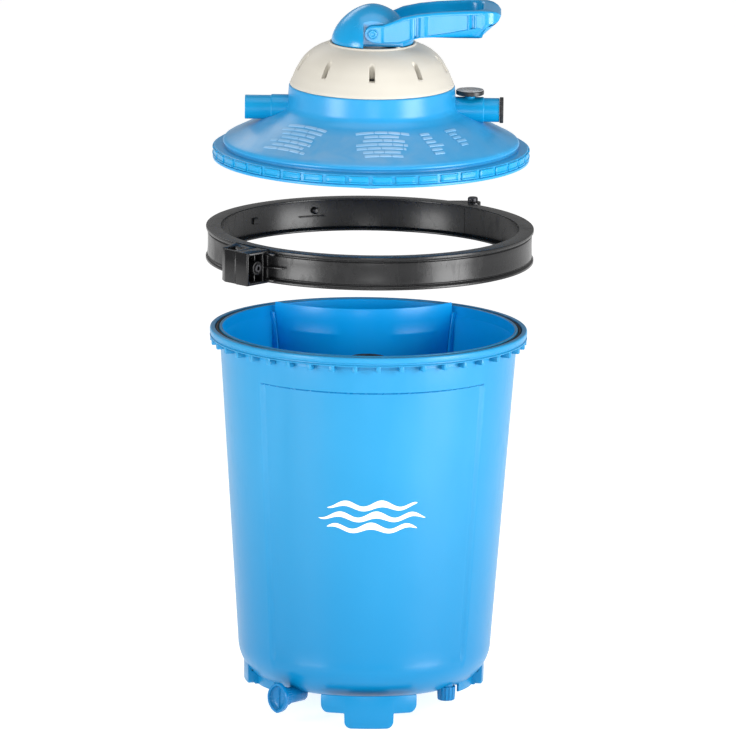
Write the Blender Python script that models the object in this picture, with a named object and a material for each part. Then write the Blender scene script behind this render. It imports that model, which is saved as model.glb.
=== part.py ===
"""Top-mount water filter shown apart: tank, hinged clamp band, and lid with a lever valve.

Metres, +Z up, +X right, -Y front. The origin is on the tank's axis, on the plane of the feet.
An azimuth is counted in degrees from the front (-Y) towards +X.
"""
import math

import bmesh
import bpy
from mathutils import Matrix, Vector

# Running gap between touching pieces, and facets round the large turned pieces.
GAP = 0.0003
SEGMENTS = 42

# Heights of the three groups: the clamp's middle plane and the lid's lower face.
CLAMP_HEIGHT_AT_REST = 0.741
LID_HEIGHT_AT_REST = 0.876

# Tank. The whole tank is turned a little about its axis against the lid and the clamp.
TANK_TURN = 2.8
RIM_HEIGHT = 0.606
RIM_RADIUS = 0.2495
FLANGE_DEPTH = 0.0246
WALL_TOP_RADIUS = 0.233
WALL_TAPER = 0.0725
WALL = 0.0065
FLOOR_UNDERSIDE = 0.042
FLOOR_THICKNESS = 0.007
CORNER_HEIGHT = 0.108
CORNER_CENTRE_RADIUS = 0.135
TOOTH_COUNT = 42
TOOTH_GAP = 0.030
PANEL_HALF_ANGLE = 52.0
PANEL_DEPTH = 0.0022
FOOT_AZIMUTHS = (0.0, 145.0, -145.0)
SIDE_SKIRT_AZIMUTHS = (90.0, -90.0)
SIDE_SKIRT_HALF_ANGLE = 13.0
SIDE_SKIRT_HEIGHT = 0.041
PLATE_AZIMUTHS = (68.5, -68.5, 112.0, -112.0)
PLATE_HALF_ANGLE = 11.5
FOOT_RADIUS = 0.189
FOOT_INNER_RADIUS = 0.158
FOOT_HALF_ANGLE = 11.7
SKIRT_HALF_ANGLE = 23.5
SKIRT_HEIGHT = 0.024

# Baffle plate inside the tank: an arc bowed towards the front.
BAFFLE_ARC_CENTRE = 0.309
BAFFLE_ARC_RADIUS = 0.194
BAFFLE_THICKNESS = 0.003
BAFFLE_TOP = 0.612
BAFFLE_BOTTOM = 0.262
BAFFLE_WALL_GAP = 0.003

# Standpipe and laterals.
STANDPIPE_RADIUS = 0.0255
STANDPIPE_BORE = 0.0215
STANDPIPE_TOP = 0.5595
LATERAL_COUNT = 8
LATERAL_RADIUS = 0.009
LATERAL_HEIGHT = 0.066
LATERAL_END = 0.150

# Drains: one with a flat leaf-shaped grip, one fluted.
WING_AZIMUTH = -43.0
WING_HEIGHT = 0.0422
WING_BOSS_END = 0.1860
PLUG_AZIMUTH = 48.7
PLUG_RADIUS_AT = 0.166

# Clamp band.
CLAMP_RADIUS = 0.2575
CLAMP_LIP_RADIUS = 0.2345
CLAMP_GROOVE_RADIUS = 0.2503
CLAMP_HALF_HEIGHT = 0.026
CLAMP_GROOVE_HALF_HEIGHT = 0.0228
SPLIT_AZIMUTH = -43.5
HINGE_AZIMUTH = 143.5
SPLIT_GAP = 0.0004
HINGE_RADIUS = 0.272
KNUCKLE_RADIUS = 0.0125
PIN_RADIUS = 0.005
LUG_RADIUS = 0.304
BOLT_RADIUS_AT = 0.280
BOLT_RADIUS = 0.004
BOLT_BACKED_OUT = 0.0112

# Lid, measured upwards from its lower face.
LID_RIM_THICKNESS = 0.0201
LID_WALL_RADIUS = 0.2325
CHAMBER_RADIUS = 0.094
RING_TOP = 0.118
RING_RADIUS = 0.130
PORT_HEIGHT = 0.080
PORT_BORE = 0.015
SOCKET_DEPTH = 0.043
SCREW_COUNT = 9
SCREW_CIRCLE = 0.103
SCREW_FLOOR = 0.143
GAUGE_AT = 0.154
COVER_PLATE_TOP = 0.1845

# Lever valve, in the lid's own heights.
BONNET_RADIUS = 0.0645
BONNET_BASE = 0.1866
BONNET_SHOULDER = 0.190
BONNET_TOP = 0.247
LEVER_PIN_HEIGHT = 0.208
LEVER_INNER = 0.044
LEVER_OUTER = 0.0525


# ---------------------------------------------------------------- helpers

def finish(name, colour, roughness, metallic=0.0):
    """A Principled material."""
    material = bpy.data.materials.new(name)
    material.use_nodes = True
    shader = material.node_tree.nodes["Principled BSDF"]
    shader.inputs["Base Color"].default_value = (*colour, 1.0)
    shader.inputs["Roughness"].default_value = roughness
    shader.inputs["Metallic"].default_value = metallic
    material.diffuse_color = (*colour, 1.0)
    return material


def make(name, bm, material=None):
    """A mesh object from a bmesh, with its faces turned outwards."""
    bmesh.ops.recalc_face_normals(bm, faces=bm.faces)
    mesh = bpy.data.meshes.new(name)
    bm.to_mesh(mesh)
    bm.free()
    piece = bpy.data.objects.new(name, mesh)
    bpy.context.scene.collection.objects.link(piece)
    if material is not None:
        mesh.materials.append(material)
    return piece


def merge(piece, other, operation):
    """Apply an exact boolean of one object with another, which is used up."""
    modifier = piece.modifiers.new("merge", "BOOLEAN")
    modifier.operation = operation
    modifier.solver = "EXACT"
    modifier.object = other
    bpy.context.view_layer.update()
    graph = bpy.context.evaluated_depsgraph_get()
    result = bpy.data.meshes.new_from_object(piece.evaluated_get(graph))
    result.name = piece.name
    old = piece.data
    piece.modifiers.clear()
    piece.data = result
    bpy.data.meshes.remove(old)
    bpy.data.objects.remove(other)
    return piece


def cut(piece, *cutters):
    for cutter in cutters:
        merge(piece, cutter, "DIFFERENCE")
    return piece


def add(piece, *others):
    for other in others:
        merge(piece, other, "UNION")
    return piece


def gather(objects):
    """Join solids that don't touch each other into one object, to be used in one boolean."""
    first = objects[0]
    bm = bmesh.new()
    for item in objects:
        item.data.transform(item.matrix_basis)
        bm.from_mesh(item.data)
    for item in objects[1:]:
        bpy.data.objects.remove(item)
    bm.to_mesh(first.data)
    bm.free()
    first.matrix_basis = Matrix.Identity(4)
    return first


def shift(piece, matrix):
    piece.data.transform(matrix)
    return piece


def place(piece, frame, pivot=(0.0, 0.0, 0.0)):
    """Parent a piece to its group's frame, with its origin at a pivot given in that frame."""
    pivot = Vector(pivot)
    piece.data.transform(Matrix.Translation(-pivot))
    piece.data.shade_smooth()
    piece.data.set_sharp_from_angle(angle=math.radians(32.0))
    piece.location = pivot
    piece.parent = frame
    return piece


def group_frame(name, height):
    empty = bpy.data.objects.new(name, None)
    empty.location = (0.0, 0.0, height)
    bpy.context.scene.collection.objects.link(empty)
    return empty


def turned(name, profile, material=None, segments=SEGMENTS):
    """Turn a profile of (radius, height) points about Z. Ends on the axis close it, otherwise the
    last point joins the first."""
    bm = bmesh.new()
    rings = []
    for radius, height in profile:
        if radius == 0.0:
            rings.append([bm.verts.new((0.0, 0.0, height))])
            continue
        ring = []
        for step in range(segments):
            angle = math.tau * step / segments
            ring.append(bm.verts.new((radius * math.sin(angle), -radius * math.cos(angle), height)))
        rings.append(ring)
    pairs = list(zip(rings, rings[1:]))
    if profile[0][0] > 0.0:
        pairs.append((rings[-1], rings[0]))
    for lower, upper in pairs:
        for step in range(segments):
            following = (step + 1) % segments
            corners = [lower[step % len(lower)], lower[following % len(lower)],
                       upper[following % len(upper)], upper[step % len(upper)]]
            bm.faces.new(list(dict.fromkeys(corners)))
    return make(name, bm, material)


def prism(name, outline, low, high, material=None):
    """Extrude an outline of (x, y) points between two heights."""
    bm = bmesh.new()
    lower = [bm.verts.new((x, y, low)) for x, y in outline]
    upper = [bm.verts.new((x, y, high)) for x, y in outline]
    bm.faces.new(lower)
    bm.faces.new(upper)
    for index in range(len(outline)):
        following = (index + 1) % len(outline)
        bm.faces.new((lower[index], lower[following], upper[following], upper[index]))
    return make(name, bm, material)


def box(low, high):
    outline = [(low[0], low[1]), (high[0], low[1]), (high[0], high[1]), (low[0], high[1])]
    return prism("box", outline, low[2], high[2])


def rod(radius, low, high, sides=12, centre=(0.0, 0.0)):
    outline = [(centre[0] + x, centre[1] + y) for x, y in arc_points(radius, 0.0, 360.0, sides)[:-1]]
    return prism("rod", outline, low, high)


def arc_points(radius, start, end, steps, centre=(0.0, 0.0)):
    """Points on an arc, with angles in degrees from +X towards +Y."""
    points = []
    for step in range(steps + 1):
        angle = math.radians(start + (end - start) * step / steps)
        points.append((centre[0] + radius * math.cos(angle), centre[1] + radius * math.sin(angle)))
    return points


def swept(name, section, azimuths, material=None):
    """Sweep a section of (radius, height) points through a list of azimuths, with flat ends."""
    bm = bmesh.new()
    rings = []
    for azimuth in azimuths:
        angle = math.radians(azimuth)
        rings.append([bm.verts.new((r * math.sin(angle), -r * math.cos(angle), z)) for r, z in section])
    bm.faces.new(rings[0])
    bm.faces.new(rings[-1])
    for near, far in zip(rings, rings[1:]):
        for index in range(len(section)):
            following = (index + 1) % len(section)
            bm.faces.new((near[index], near[following], far[following], far[index]))
    return make(name, bm, material)


def ring_of(name, radius, thickness, height, material, segments=SEGMENTS, sides=6):
    """An O-ring."""
    section = arc_points(thickness, 0.0, 360.0, sides, (radius, height))[:-1]
    return turned(name, section, material, segments)


def outward(azimuth):
    """Turns the local axes (radial, tangential, up) to a given azimuth."""
    return Matrix.Rotation(math.radians(azimuth - 90.0), 4, "Z")


def radial_axis(azimuth, height=0.0):
    """Turns local +Z to point outwards along a given azimuth, at a given height."""
    return Matrix.Translation((0.0, 0.0, height)) @ outward(azimuth) @ Matrix.Rotation(math.pi / 2, 4, "Y")


def at(azimuth, radius, height=0.0):
    return outward(azimuth) @ Vector((radius, 0.0, height))


def along_tangent(radius):
    """Turns local +Z to the tangential direction, at a given radius."""
    return Matrix.Translation((radius, 0.0, 0.0)) @ Matrix.Rotation(-math.pi / 2, 4, "X")


# ---------------------------------------------------------------- tank

def wall_radius(height):
    return WALL_TOP_RADIUS - (RIM_HEIGHT - FLANGE_DEPTH - height) * WALL_TAPER


def inner_radius(height):
    return wall_radius(height) - WALL


def rounded_corner(low, radius_at_top, top, centre, steps):
    """The rounded lower edge of the tank: a quarter of an ellipse from the floor to the wall."""
    points = []
    for step in range(1, steps + 1):
        angle = math.pi / 2 * step / steps
        radius = centre + (radius_at_top - centre) * math.sin(angle)
        points.append((radius, top - (top - low) * math.cos(angle)))
    return points


def tank_profile():
    rim = RIM_HEIGHT
    flange = RIM_HEIGHT - FLANGE_DEPTH
    floor = FLOOR_UNDERSIDE + FLOOR_THICKNESS
    inner_corner_top = CORNER_HEIGHT + 0.0025
    outside = [(0.0, FLOOR_UNDERSIDE), (CORNER_CENTRE_RADIUS, FLOOR_UNDERSIDE)]
    outside += rounded_corner(FLOOR_UNDERSIDE, wall_radius(CORNER_HEIGHT), CORNER_HEIGHT,
                              CORNER_CENTRE_RADIUS, 5)
    outside += [(WALL_TOP_RADIUS, flange), (RIM_RADIUS - 0.001, flange), (RIM_RADIUS, flange + 0.001),
                (RIM_RADIUS, rim - 0.0145), (RIM_RADIUS - 0.0025, rim - 0.0137),
                (RIM_RADIUS - 0.0025, rim - 0.0098), (RIM_RADIUS, rim - 0.009),
                (RIM_RADIUS, rim - 0.0015), (RIM_RADIUS - 0.0015, rim)]
    groove = [(0.2411, rim), (0.2411, rim - 0.0058), (0.2345, rim - 0.0058), (0.2345, rim)]
    inside = [(0.2305, rim), (0.2293, rim - 0.0012), (0.2293, rim - 0.016),
              (inner_radius(flange) - 0.0001, rim - 0.022)]
    corner = rounded_corner(floor, inner_radius(inner_corner_top), inner_corner_top,
                            CORNER_CENTRE_RADIUS - 0.002, 5)
    inside += list(reversed(corner))
    inside += [(CORNER_CENTRE_RADIUS - 0.002, floor), (0.0, floor)]
    return outside + groove + inside


def spaced_cutters(count, low, high, offset_steps=0.5):
    """Boxes spaced evenly round the axis; low and high are (radial, tangential, height)."""
    cutters = []
    for index in range(count):
        cutters.append(shift(box(low, high), outward(360.0 * (index + offset_steps) / count)))
    return gather(cutters)


def foot_azimuths(centre, half_angle, steps):
    return [centre - half_angle + 2.0 * half_angle * step / steps for step in range(steps + 1)]


def tank_skirts():
    """Short walls under the rounded corner, which carry the feet."""
    pieces = []
    for low, half_angle, centres in ((SKIRT_HEIGHT, SKIRT_HALF_ANGLE, FOOT_AZIMUTHS),
                                     (SIDE_SKIRT_HEIGHT, SIDE_SKIRT_HALF_ANGLE, SIDE_SKIRT_AZIMUTHS)):
        section = [(FOOT_RADIUS, low), (FOOT_RADIUS, 0.0745), (0.184, 0.0745), (0.176, 0.052), (0.176, low)]
        steps = 5 if centres is FOOT_AZIMUTHS else 3
        pieces += [swept("skirt", section, foot_azimuths(azimuth, half_angle, steps)) for azimuth in centres]
    plate = [(0.1695, 0.0410), (0.1730, 0.0410), (0.1730, 0.0585), (0.1695, 0.0565)]
    pieces += [swept("plate", plate, foot_azimuths(azimuth, PLATE_HALF_ANGLE, 3)) for azimuth in PLATE_AZIMUTHS]
    return gather(pieces)


def tank_feet():
    outer = FOOT_RADIUS - 0.0012
    section = [(outer, 0.0), (outer, 0.058), (0.182, 0.0690), (0.170, 0.0577), (FOOT_INNER_RADIUS, 0.0506),
               (FOOT_INNER_RADIUS, 0.0)]
    return gather([swept("foot", section, foot_azimuths(azimuth, FOOT_HALF_ANGLE, 3))
                   for azimuth in FOOT_AZIMUTHS])


def panel_cutter():
    """The shallow recess over the front of the body."""
    top = 0.5635
    bottom = 0.112
    section = [(wall_radius(bottom) - PANEL_DEPTH, bottom), (0.262, bottom), (0.262, top),
               (wall_radius(top) - PANEL_DEPTH, top)]
    return swept("panel", section, foot_azimuths(0.0, PANEL_HALF_ANGLE, 12))


def baffle_end(height):
    """Half-width of the baffle where its arc meets the tapered wall, less a small gap."""
    reach = inner_radius(height) - BAFFLE_WALL_GAP
    depth = (reach ** 2 - BAFFLE_ARC_RADIUS ** 2 + BAFFLE_ARC_CENTRE ** 2) / (2.0 * BAFFLE_ARC_CENTRE)
    return math.sqrt(reach ** 2 - depth ** 2)


def guide_rails():
    """Two pairs of upright rails on the inner wall, which hold the baffle's edges."""
    rails = []
    low, high = BAFFLE_BOTTOM + 0.010, RIM_HEIGHT - 0.030
    for side in (1.0, -1.0):
        for front in (0.0006, -BAFFLE_THICKNESS - 0.0043):
            bm = bmesh.new()
            rows = []
            for height in (low, high):
                half_width = baffle_end(height)
                angle = math.asin(half_width / BAFFLE_ARC_RADIUS)
                along = Vector((math.cos(angle), math.sin(angle)))
                across = Vector((math.sin(angle), -math.cos(angle)))
                end = Vector((half_width, BAFFLE_ARC_CENTRE - BAFFLE_ARC_RADIUS * math.cos(angle)))
                row = []
                for reach, offset in ((-0.007, 0.0), (0.0065, 0.0), (0.0065, 0.003), (-0.007, 0.003)):
                    spot = end + along * reach + across * (front + offset)
                    row.append(bm.verts.new((side * spot.x, spot.y, height)))
                rows.append(row)
            bm.faces.new(rows[0])
            bm.faces.new(rows[1])
            for index in range(4):
                following = (index + 1) % 4
                bm.faces.new((rows[0][index], rows[0][following], rows[1][following], rows[1][index]))
            rails.append(make("rail", bm))
    return gather(rails)


def drain_bosses():
    """A level boss for the leaf-grip cap and an upright one for the fluted plug."""
    upright = shift(rod(0.0155, FLOOR_UNDERSIDE, 0.060, 14), Matrix.Translation(at(PLUG_AZIMUTH, PLUG_RADIUS_AT)))
    level = shift(rod(0.0125, 0.140, WING_BOSS_END, 14), radial_axis(WING_AZIMUTH, WING_HEIGHT))
    return gather([level, upright])


def drain_bores():
    level = shift(rod(0.008, 0.150, WING_BOSS_END + 0.010, 10), radial_axis(WING_AZIMUTH, WING_HEIGHT))
    down = shift(rod(0.006, WING_HEIGHT, 0.080, 8), Matrix.Translation(at(WING_AZIMUTH, 0.158)))
    plug = shift(rod(0.008, 0.020, 0.075, 12), Matrix.Translation(at(PLUG_AZIMUTH, PLUG_RADIUS_AT)))
    return level, down, plug


def build_tank(blue):
    tank = turned("tank", tank_profile(), blue)
    flange = RIM_HEIGHT - FLANGE_DEPTH
    gap = TOOTH_GAP / 2
    teeth = spaced_cutters(TOOTH_COUNT, (0.2375, -gap, flange - 0.006), (0.256, gap, RIM_HEIGHT - 0.0118),
                            0.6225)
    cut(tank, teeth, panel_cutter())
    add(tank, tank_skirts(), tank_feet(), guide_rails(), drain_bosses())
    cut(tank, *drain_bores())
    return tank


def build_baffle(blue):
    """A curved plate, narrower at the foot as the tank tapers."""
    bm = bmesh.new()
    rows = []
    steps = 12
    for height, reference in ((BAFFLE_BOTTOM, BAFFLE_BOTTOM), (BAFFLE_TOP, RIM_HEIGHT - 0.028)):
        half_angle = math.asin(baffle_end(reference) / BAFFLE_ARC_RADIUS)
        row = []
        for radius in (BAFFLE_ARC_RADIUS, BAFFLE_ARC_RADIUS - BAFFLE_THICKNESS):
            side = []
            for step in range(steps + 1):
                angle = half_angle * (2.0 * step / steps - 1.0)
                spot = (radius * math.sin(angle), BAFFLE_ARC_CENTRE - radius * math.cos(angle), height)
                side.append(bm.verts.new(spot))
            row += side if radius == BAFFLE_ARC_RADIUS else list(reversed(side))
        rows.append(row)
    for index in range(len(rows[0])):
        following = (index + 1) % len(rows[0])
        bm.faces.new((rows[0][index], rows[0][following], rows[1][following], rows[1][index]))
    for row in rows:
        for step in range(steps):
            back = len(row) - 1 - step
            bm.faces.new((row[step], row[step + 1], row[back - 1], row[back]))
    return make("baffle_plate", bm, blue)


def build_standpipe(white):
    top = STANDPIPE_TOP
    low = 0.0803
    profile = [(STANDPIPE_BORE, low), (STANDPIPE_RADIUS, low), (STANDPIPE_RADIUS, top - 0.008),
               (0.029, top - 0.008), (0.029, top), (STANDPIPE_BORE, top)]
    return turned("standpipe", profile, white, 20)


def build_lateral_hub(white):
    profile = [(0.0, 0.0495), (0.034, 0.0495), (0.034, 0.094), (0.0262, 0.094), (0.0262, 0.080),
               (0.0, 0.080)]
    return turned("lateral_hub", profile, white, 16)


def build_lateral(index, white):
    start = 0.0343
    end = LATERAL_END
    profile = [(0.0, start), (LATERAL_RADIUS, start), (LATERAL_RADIUS, end - 0.005),
               (LATERAL_RADIUS * 0.6, end), (0.0, end)]
    lateral = turned("lateral_" + str(index + 1), profile, white, 8)
    azimuth = 360.0 * (index + 0.5) / LATERAL_COUNT
    return shift(lateral, radial_axis(azimuth, LATERAL_HEIGHT))


def leaf_outline(half_width, half_height, steps):
    """A pointed oval made of two arcs."""
    radius = (half_height ** 2 + half_width ** 2) / (2.0 * half_width)
    reach = math.degrees(math.asin(half_height / radius))
    right = arc_points(radius, -reach, reach, steps, (half_width - radius, 0.0))
    left = arc_points(radius, 180.0 - reach, 180.0 + reach, steps, (radius - half_width, 0.0))
    return right[:-1] + left[:-1]


def build_wing_drain(blue, rubber):
    """The seal and the cap with its leaf-shaped grip, along the boss's own axis."""
    seal_start = WING_BOSS_END + GAP
    seal_end = seal_start + 0.0009
    seal = turned("wing_cap_seal", [(0.0082, seal_start), (0.0122, seal_start), (0.0122, seal_end),
                                    (0.0082, seal_end)], rubber, 16)
    start = seal_end + GAP
    cap = turned("drain_wing_cap", [(0.0, start - 0.012), (0.0076, start - 0.012), (0.0076, start),
                                    (0.0145, start), (0.0145, start + 0.016), (0.0, start + 0.016)],
                 blue, 16)
    leaf = prism("leaf", leaf_outline(0.0195, 0.0242, 6), start + 0.0155, start + 0.0235)
    shift(leaf, Matrix.Rotation(math.pi / 2, 4, "Z"))
    dish = prism("dish", leaf_outline(0.0145, 0.0185, 6), start + 0.0195, start + 0.026)
    shift(dish, Matrix.Rotation(math.pi / 2, 4, "Z"))
    add(cap, leaf)
    cut(cap, dish)
    turn = radial_axis(WING_AZIMUTH, WING_HEIGHT)
    return shift(seal, turn), shift(cap, turn)


def build_plug_drain(blue, rubber):
    """The seal and the fluted plug under the floor, both on an upright axis."""
    seal_top = FLOOR_UNDERSIDE - GAP
    seal_low = seal_top - 0.0012
    seal = turned("plug_seal", [(0.0082, seal_low), (0.0140, seal_low), (0.0140, seal_top),
                                (0.0082, seal_top)], rubber, 16)
    top = seal_low - GAP
    low = top - 0.011
    flutes = 12
    outline = []
    for index in range(flutes):
        middle = 360.0 * index / flutes
        outline += arc_points(0.0147, middle - 9.0, middle + 9.0, 1)
        outline += arc_points(0.0134, middle + 13.0, middle + 17.0, 1)
    plug = prism("drain_plug", outline, low, top, blue)
    add(plug, rod(0.0076, low + 0.002, FLOOR_UNDERSIDE + 0.010, 12))
    move = Matrix.Translation(at(PLUG_AZIMUTH, PLUG_RADIUS_AT))
    return shift(seal, move), shift(plug, move)


# ---------------------------------------------------------------- clamp

def clamp_section():
    """Channel section of the band: two thin lips, a groove, and a waisted outer face."""
    half = CLAMP_HALF_HEIGHT
    groove = CLAMP_GROOVE_HALF_HEIGHT
    outer = CLAMP_RADIUS
    return [(CLAMP_LIP_RADIUS, half), (outer - 0.0008, half), (outer, half - 0.0008),
            (outer, half - 0.0050), (outer - 0.0022, half - 0.0068), (outer - 0.0030, 0.0),
            (outer - 0.0022, 0.0070 - half), (outer, 0.0050 - half), (outer, 0.0008 - half),
            (outer - 0.0008, -half), (CLAMP_LIP_RADIUS, -half), (CLAMP_LIP_RADIUS, -groove),
            (CLAMP_GROOVE_RADIUS, -groove), (CLAMP_GROOVE_RADIUS, groove), (CLAMP_LIP_RADIUS, groove)]


def band_azimuths(start, end):
    """Every 7.5 degrees on whole multiples, so that the band reaches its full size on both axes."""
    gap = math.degrees(SPLIT_GAP / CLAMP_RADIUS)
    pitch = 7.5
    inner = [pitch * k for k in range(-60, 60) if start + 2.5 < pitch * k < end - 2.5]
    return [start + gap] + inner + [end - gap]


def knuckle(low, high, side):
    """A hinge eye with its leaf; side is +1 or -1 along the tangent."""
    eye = rod(KNUCKLE_RADIUS, low, high, 16, (HINGE_RADIUS, 0.0))
    outline = [(0.2530, 0.0006 * side), (0.2495, 0.036 * side), (0.2545, 0.036 * side),
               (0.2806, 0.009 * side), (0.2835, 0.0006 * side)]
    leaf = prism("leaf", outline, low, high)
    return add(eye, leaf)


def build_clamp_rear(charcoal):
    """The half behind: nut lug at the bolt end, two hinge eyes at the other."""
    half = CLAMP_HALF_HEIGHT
    rear = swept("clamp_half_rear", clamp_section(), band_azimuths(HINGE_AZIMUTH, SPLIT_AZIMUTH + 360.0),
                 charcoal)
    lug = prism("lug", [(0.2515, -SPLIT_GAP), (LUG_RADIUS - 0.002, -SPLIT_GAP), (LUG_RADIUS - 0.002, -0.024),
                        (LUG_RADIUS - 0.012, -0.040), (0.2485, -0.052)], -half, half)
    bolt_hole = shift(rod(BOLT_RADIUS + GAP, -0.016, 0.010, 10), along_tangent(BOLT_RADIUS_AT))
    nut_pocket = shift(rod(0.0080, -0.0082, 0.004, 6), along_tangent(BOLT_RADIUS_AT))
    cut(lug, bolt_hole, nut_pocket)
    add(rear, shift(lug, outward(SPLIT_AZIMUTH)))
    eyes = gather([knuckle(-half, -0.010, 1.0), knuckle(0.010, half, 1.0)])
    cut(eyes, rod(PIN_RADIUS + GAP, -0.040, 0.040, 10, (HINGE_RADIUS, 0.0)))
    return add(rear, shift(eyes, outward(HINGE_AZIMUTH)))


def build_clamp_front(charcoal):
    """The half in front: an open ribbed lug round the bolt boss, and the middle hinge eye."""
    half = CLAMP_HALF_HEIGHT
    front = swept("clamp_half_front", clamp_section(), band_azimuths(SPLIT_AZIMUTH, HINGE_AZIMUTH), charcoal)
    lug = box((0.2515, SPLIT_GAP, -half), (LUG_RADIUS, 0.026, half))
    pocket = box((0.2625, 0.006, -half + 0.004), (LUG_RADIUS - 0.0035, 0.040, half - 0.004))
    cut(lug, pocket)
    boss = shift(rod(0.0107, 0.004, 0.0250, 16), along_tangent(BOLT_RADIUS_AT))
    web = box((0.2610, 0.004, -0.0016), (0.2720, 0.0220, 0.0016))
    seat = shift(rod(0.0068, 0.0060, 0.040, 14), along_tangent(BOLT_RADIUS_AT))
    hole = shift(rod(BOLT_RADIUS + GAP, -0.010, 0.010, 10), along_tangent(BOLT_RADIUS_AT))
    add(lug, boss, web)
    cut(lug, seat, hole)
    add(front, shift(lug, outward(SPLIT_AZIMUTH)))
    eye = knuckle(-0.0095, 0.0095, -1.0)
    cut(eye, rod(PIN_RADIUS + GAP, -0.040, 0.040, 10, (HINGE_RADIUS, 0.0)))
    return add(front, shift(eye, outward(HINGE_AZIMUTH)))


def build_hinge_pin(steel):
    half = CLAMP_HALF_HEIGHT
    pin = turned("hinge_pin", [(0.0, -half - 0.002), (PIN_RADIUS, -half - 0.002), (PIN_RADIUS, half + GAP),
                               (0.008, half + GAP), (0.008, half + 0.0065), (0.0065, half + 0.0075),
                               (0.0, half + 0.0075)], steel, 12)
    return shift(pin, Matrix.Translation(at(HINGE_AZIMUTH, HINGE_RADIUS)))


def build_bolt_set(steel):
    """The captive hexagon nut, the washer and the socket-head bolt, which rests backed out."""
    place_on_axis = outward(SPLIT_AZIMUTH) @ along_tangent(BOLT_RADIUS_AT)
    nut = prism("insert_nut", arc_points(0.0075, 0.0, 360.0, 6)[:-1], -0.0075, -0.0012, steel)
    cut(nut, rod(BOLT_RADIUS + 0.0002, -0.010, 0.004, 10))
    out = BOLT_BACKED_OUT
    washer = turned("bolt_washer", [(0.0043, 0.0063 + out), (0.0064, 0.0063 + out), (0.0064, 0.0075 + out),
                                    (0.0043, 0.0075 + out)], steel, 14)
    head = 0.0078 + out
    bolt = turned("clamp_bolt", [(0.0, head - 0.0178), (BOLT_RADIUS, head - 0.0178), (BOLT_RADIUS, head),
                                 (0.0064, head), (0.0064, head + 0.0074), (0.0058, head + 0.008),
                                 (0.0, head + 0.008)], steel, 14)
    socket = prism("socket", arc_points(0.0035, 0.0, 360.0, 6)[:-1], head + 0.003, head + 0.012)
    cut(bolt, socket)
    return [shift(piece, place_on_axis) for piece in (nut, washer, bolt)]


# ---------------------------------------------------------------- lid

def lid_profile():
    rim = RIM_RADIUS
    thick = LID_RIM_THICKNESS
    wall = LID_WALL_RADIUS
    top = RING_TOP
    chamber = CHAMBER_RADIUS
    ring = RING_RADIUS
    return [(chamber, top), (0.1118, top), (0.1118, top - 0.0032), (0.1172, top - 0.0032), (0.1172, top),
            (ring - 0.001, top), (ring, top - 0.001), (ring + 0.002, 0.084), (ring + 0.006, 0.0785),
            (0.2255, 0.0345), (0.2305, 0.0315), (wall, 0.0268), (wall, thick), (rim - 0.0013, thick),
            (rim, thick - 0.0013), (rim, 0.0013), (rim - 0.0013, 0.0), (0.2275, 0.0), (0.2275, 0.024),
            (0.2215, 0.0305), (0.133, 0.0735), (0.126, 0.078), (0.126, 0.112), (chamber + 0.004, 0.112),
            (chamber + 0.004, 0.056), (0.030, 0.056), (0.030, -SOCKET_DEPTH), (0.025, -SOCKET_DEPTH),
            (0.025, 0.062), (chamber, 0.062)]


def port_body(azimuth, steps):
    """A hose port as a turned tube; steps are (radius, end) pairs from the valve outwards."""
    profile = [(0.0, 0.0965)]
    start = 0.0965
    for radius, end in steps:
        profile += [(radius, start), (radius, end)]
        start = end
    profile.append((0.0, start))
    return shift(turned("port", profile, None, 20), radial_axis(azimuth, PORT_HEIGHT))


def port_bore(azimuth):
    bore = shift(rod(PORT_BORE, 0.088, 0.240, 16), Matrix.Rotation(math.radians(8.0), 4, "Z"))
    return shift(bore, radial_axis(azimuth, PORT_HEIGHT))


def build_lid(blue):
    lid = turned("lid", lid_profile(), blue)
    slots = spaced_cutters(TOOTH_COUNT, (0.2455, -0.0022, 0.0048), (0.256, 0.0022, 0.0158))
    cut(lid, slots)
    stepped = ((0.0204, 0.1575), (0.0189, 0.199))
    ports = gather([port_body(-90.0, stepped), port_body(180.0, stepped),
                    port_body(90.0, ((0.0204, 0.1755), (0.0189, 0.2005)))])
    gauge_boss = rod(0.008, PORT_HEIGHT + 0.010, 0.1039, 12, (GAUGE_AT, 0.0))
    add(ports, gauge_boss)
    add(lid, ports)
    bores = gather([port_bore(azimuth) for azimuth in (-90.0, 90.0, 180.0)])
    cut(lid, bores)
    holes = []
    for index in range(SCREW_COUNT):
        spot = at(360.0 * index / SCREW_COUNT, SCREW_CIRCLE)
        holes.append(rod(0.0025, 0.108, 0.122, 6, (spot.x, spot.y)))
    return cut(lid, gather(holes))


def build_valve_cover(white):
    """The domed cover with eight recesses for its screws."""
    plate = COVER_PLATE_TOP
    profile = [(0.0905, RING_TOP + GAP), (0.129, RING_TOP + GAP), (0.129, 0.1200), (0.125, 0.129),
               (0.121, 0.139), (0.1155, 0.1485), (0.110, 0.158), (0.1006, 0.1678), (0.087, 0.1772),
               (0.0700, 0.1832), (0.0680, 0.1866), (0.0658, 0.1866), (0.0655, plate), (0.012, plate),
               (0.012, plate - 0.005), (0.060, plate - 0.006), (0.083, 0.1685), (0.0905, 0.158)]
    cover = turned("valve_cover", profile, white, 40)
    notches = []
    holes = []
    for index in range(SCREW_COUNT):
        azimuth = 360.0 * index / SCREW_COUNT
        outline = arc_points(0.0065, 90.0, 270.0, 4, (SCREW_CIRCLE, 0.0)) + [(0.140, -0.0065), (0.140, 0.0065)]
        notches.append(shift(prism("notch", outline, SCREW_FLOOR, 0.200), outward(azimuth)))
        spot = at(azimuth, SCREW_CIRCLE)
        holes.append(rod(0.0025, RING_TOP - 0.01, SCREW_FLOOR + 0.01, 6, (spot.x, spot.y)))
    return cut(cover, gather(notches), gather(holes))


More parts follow.
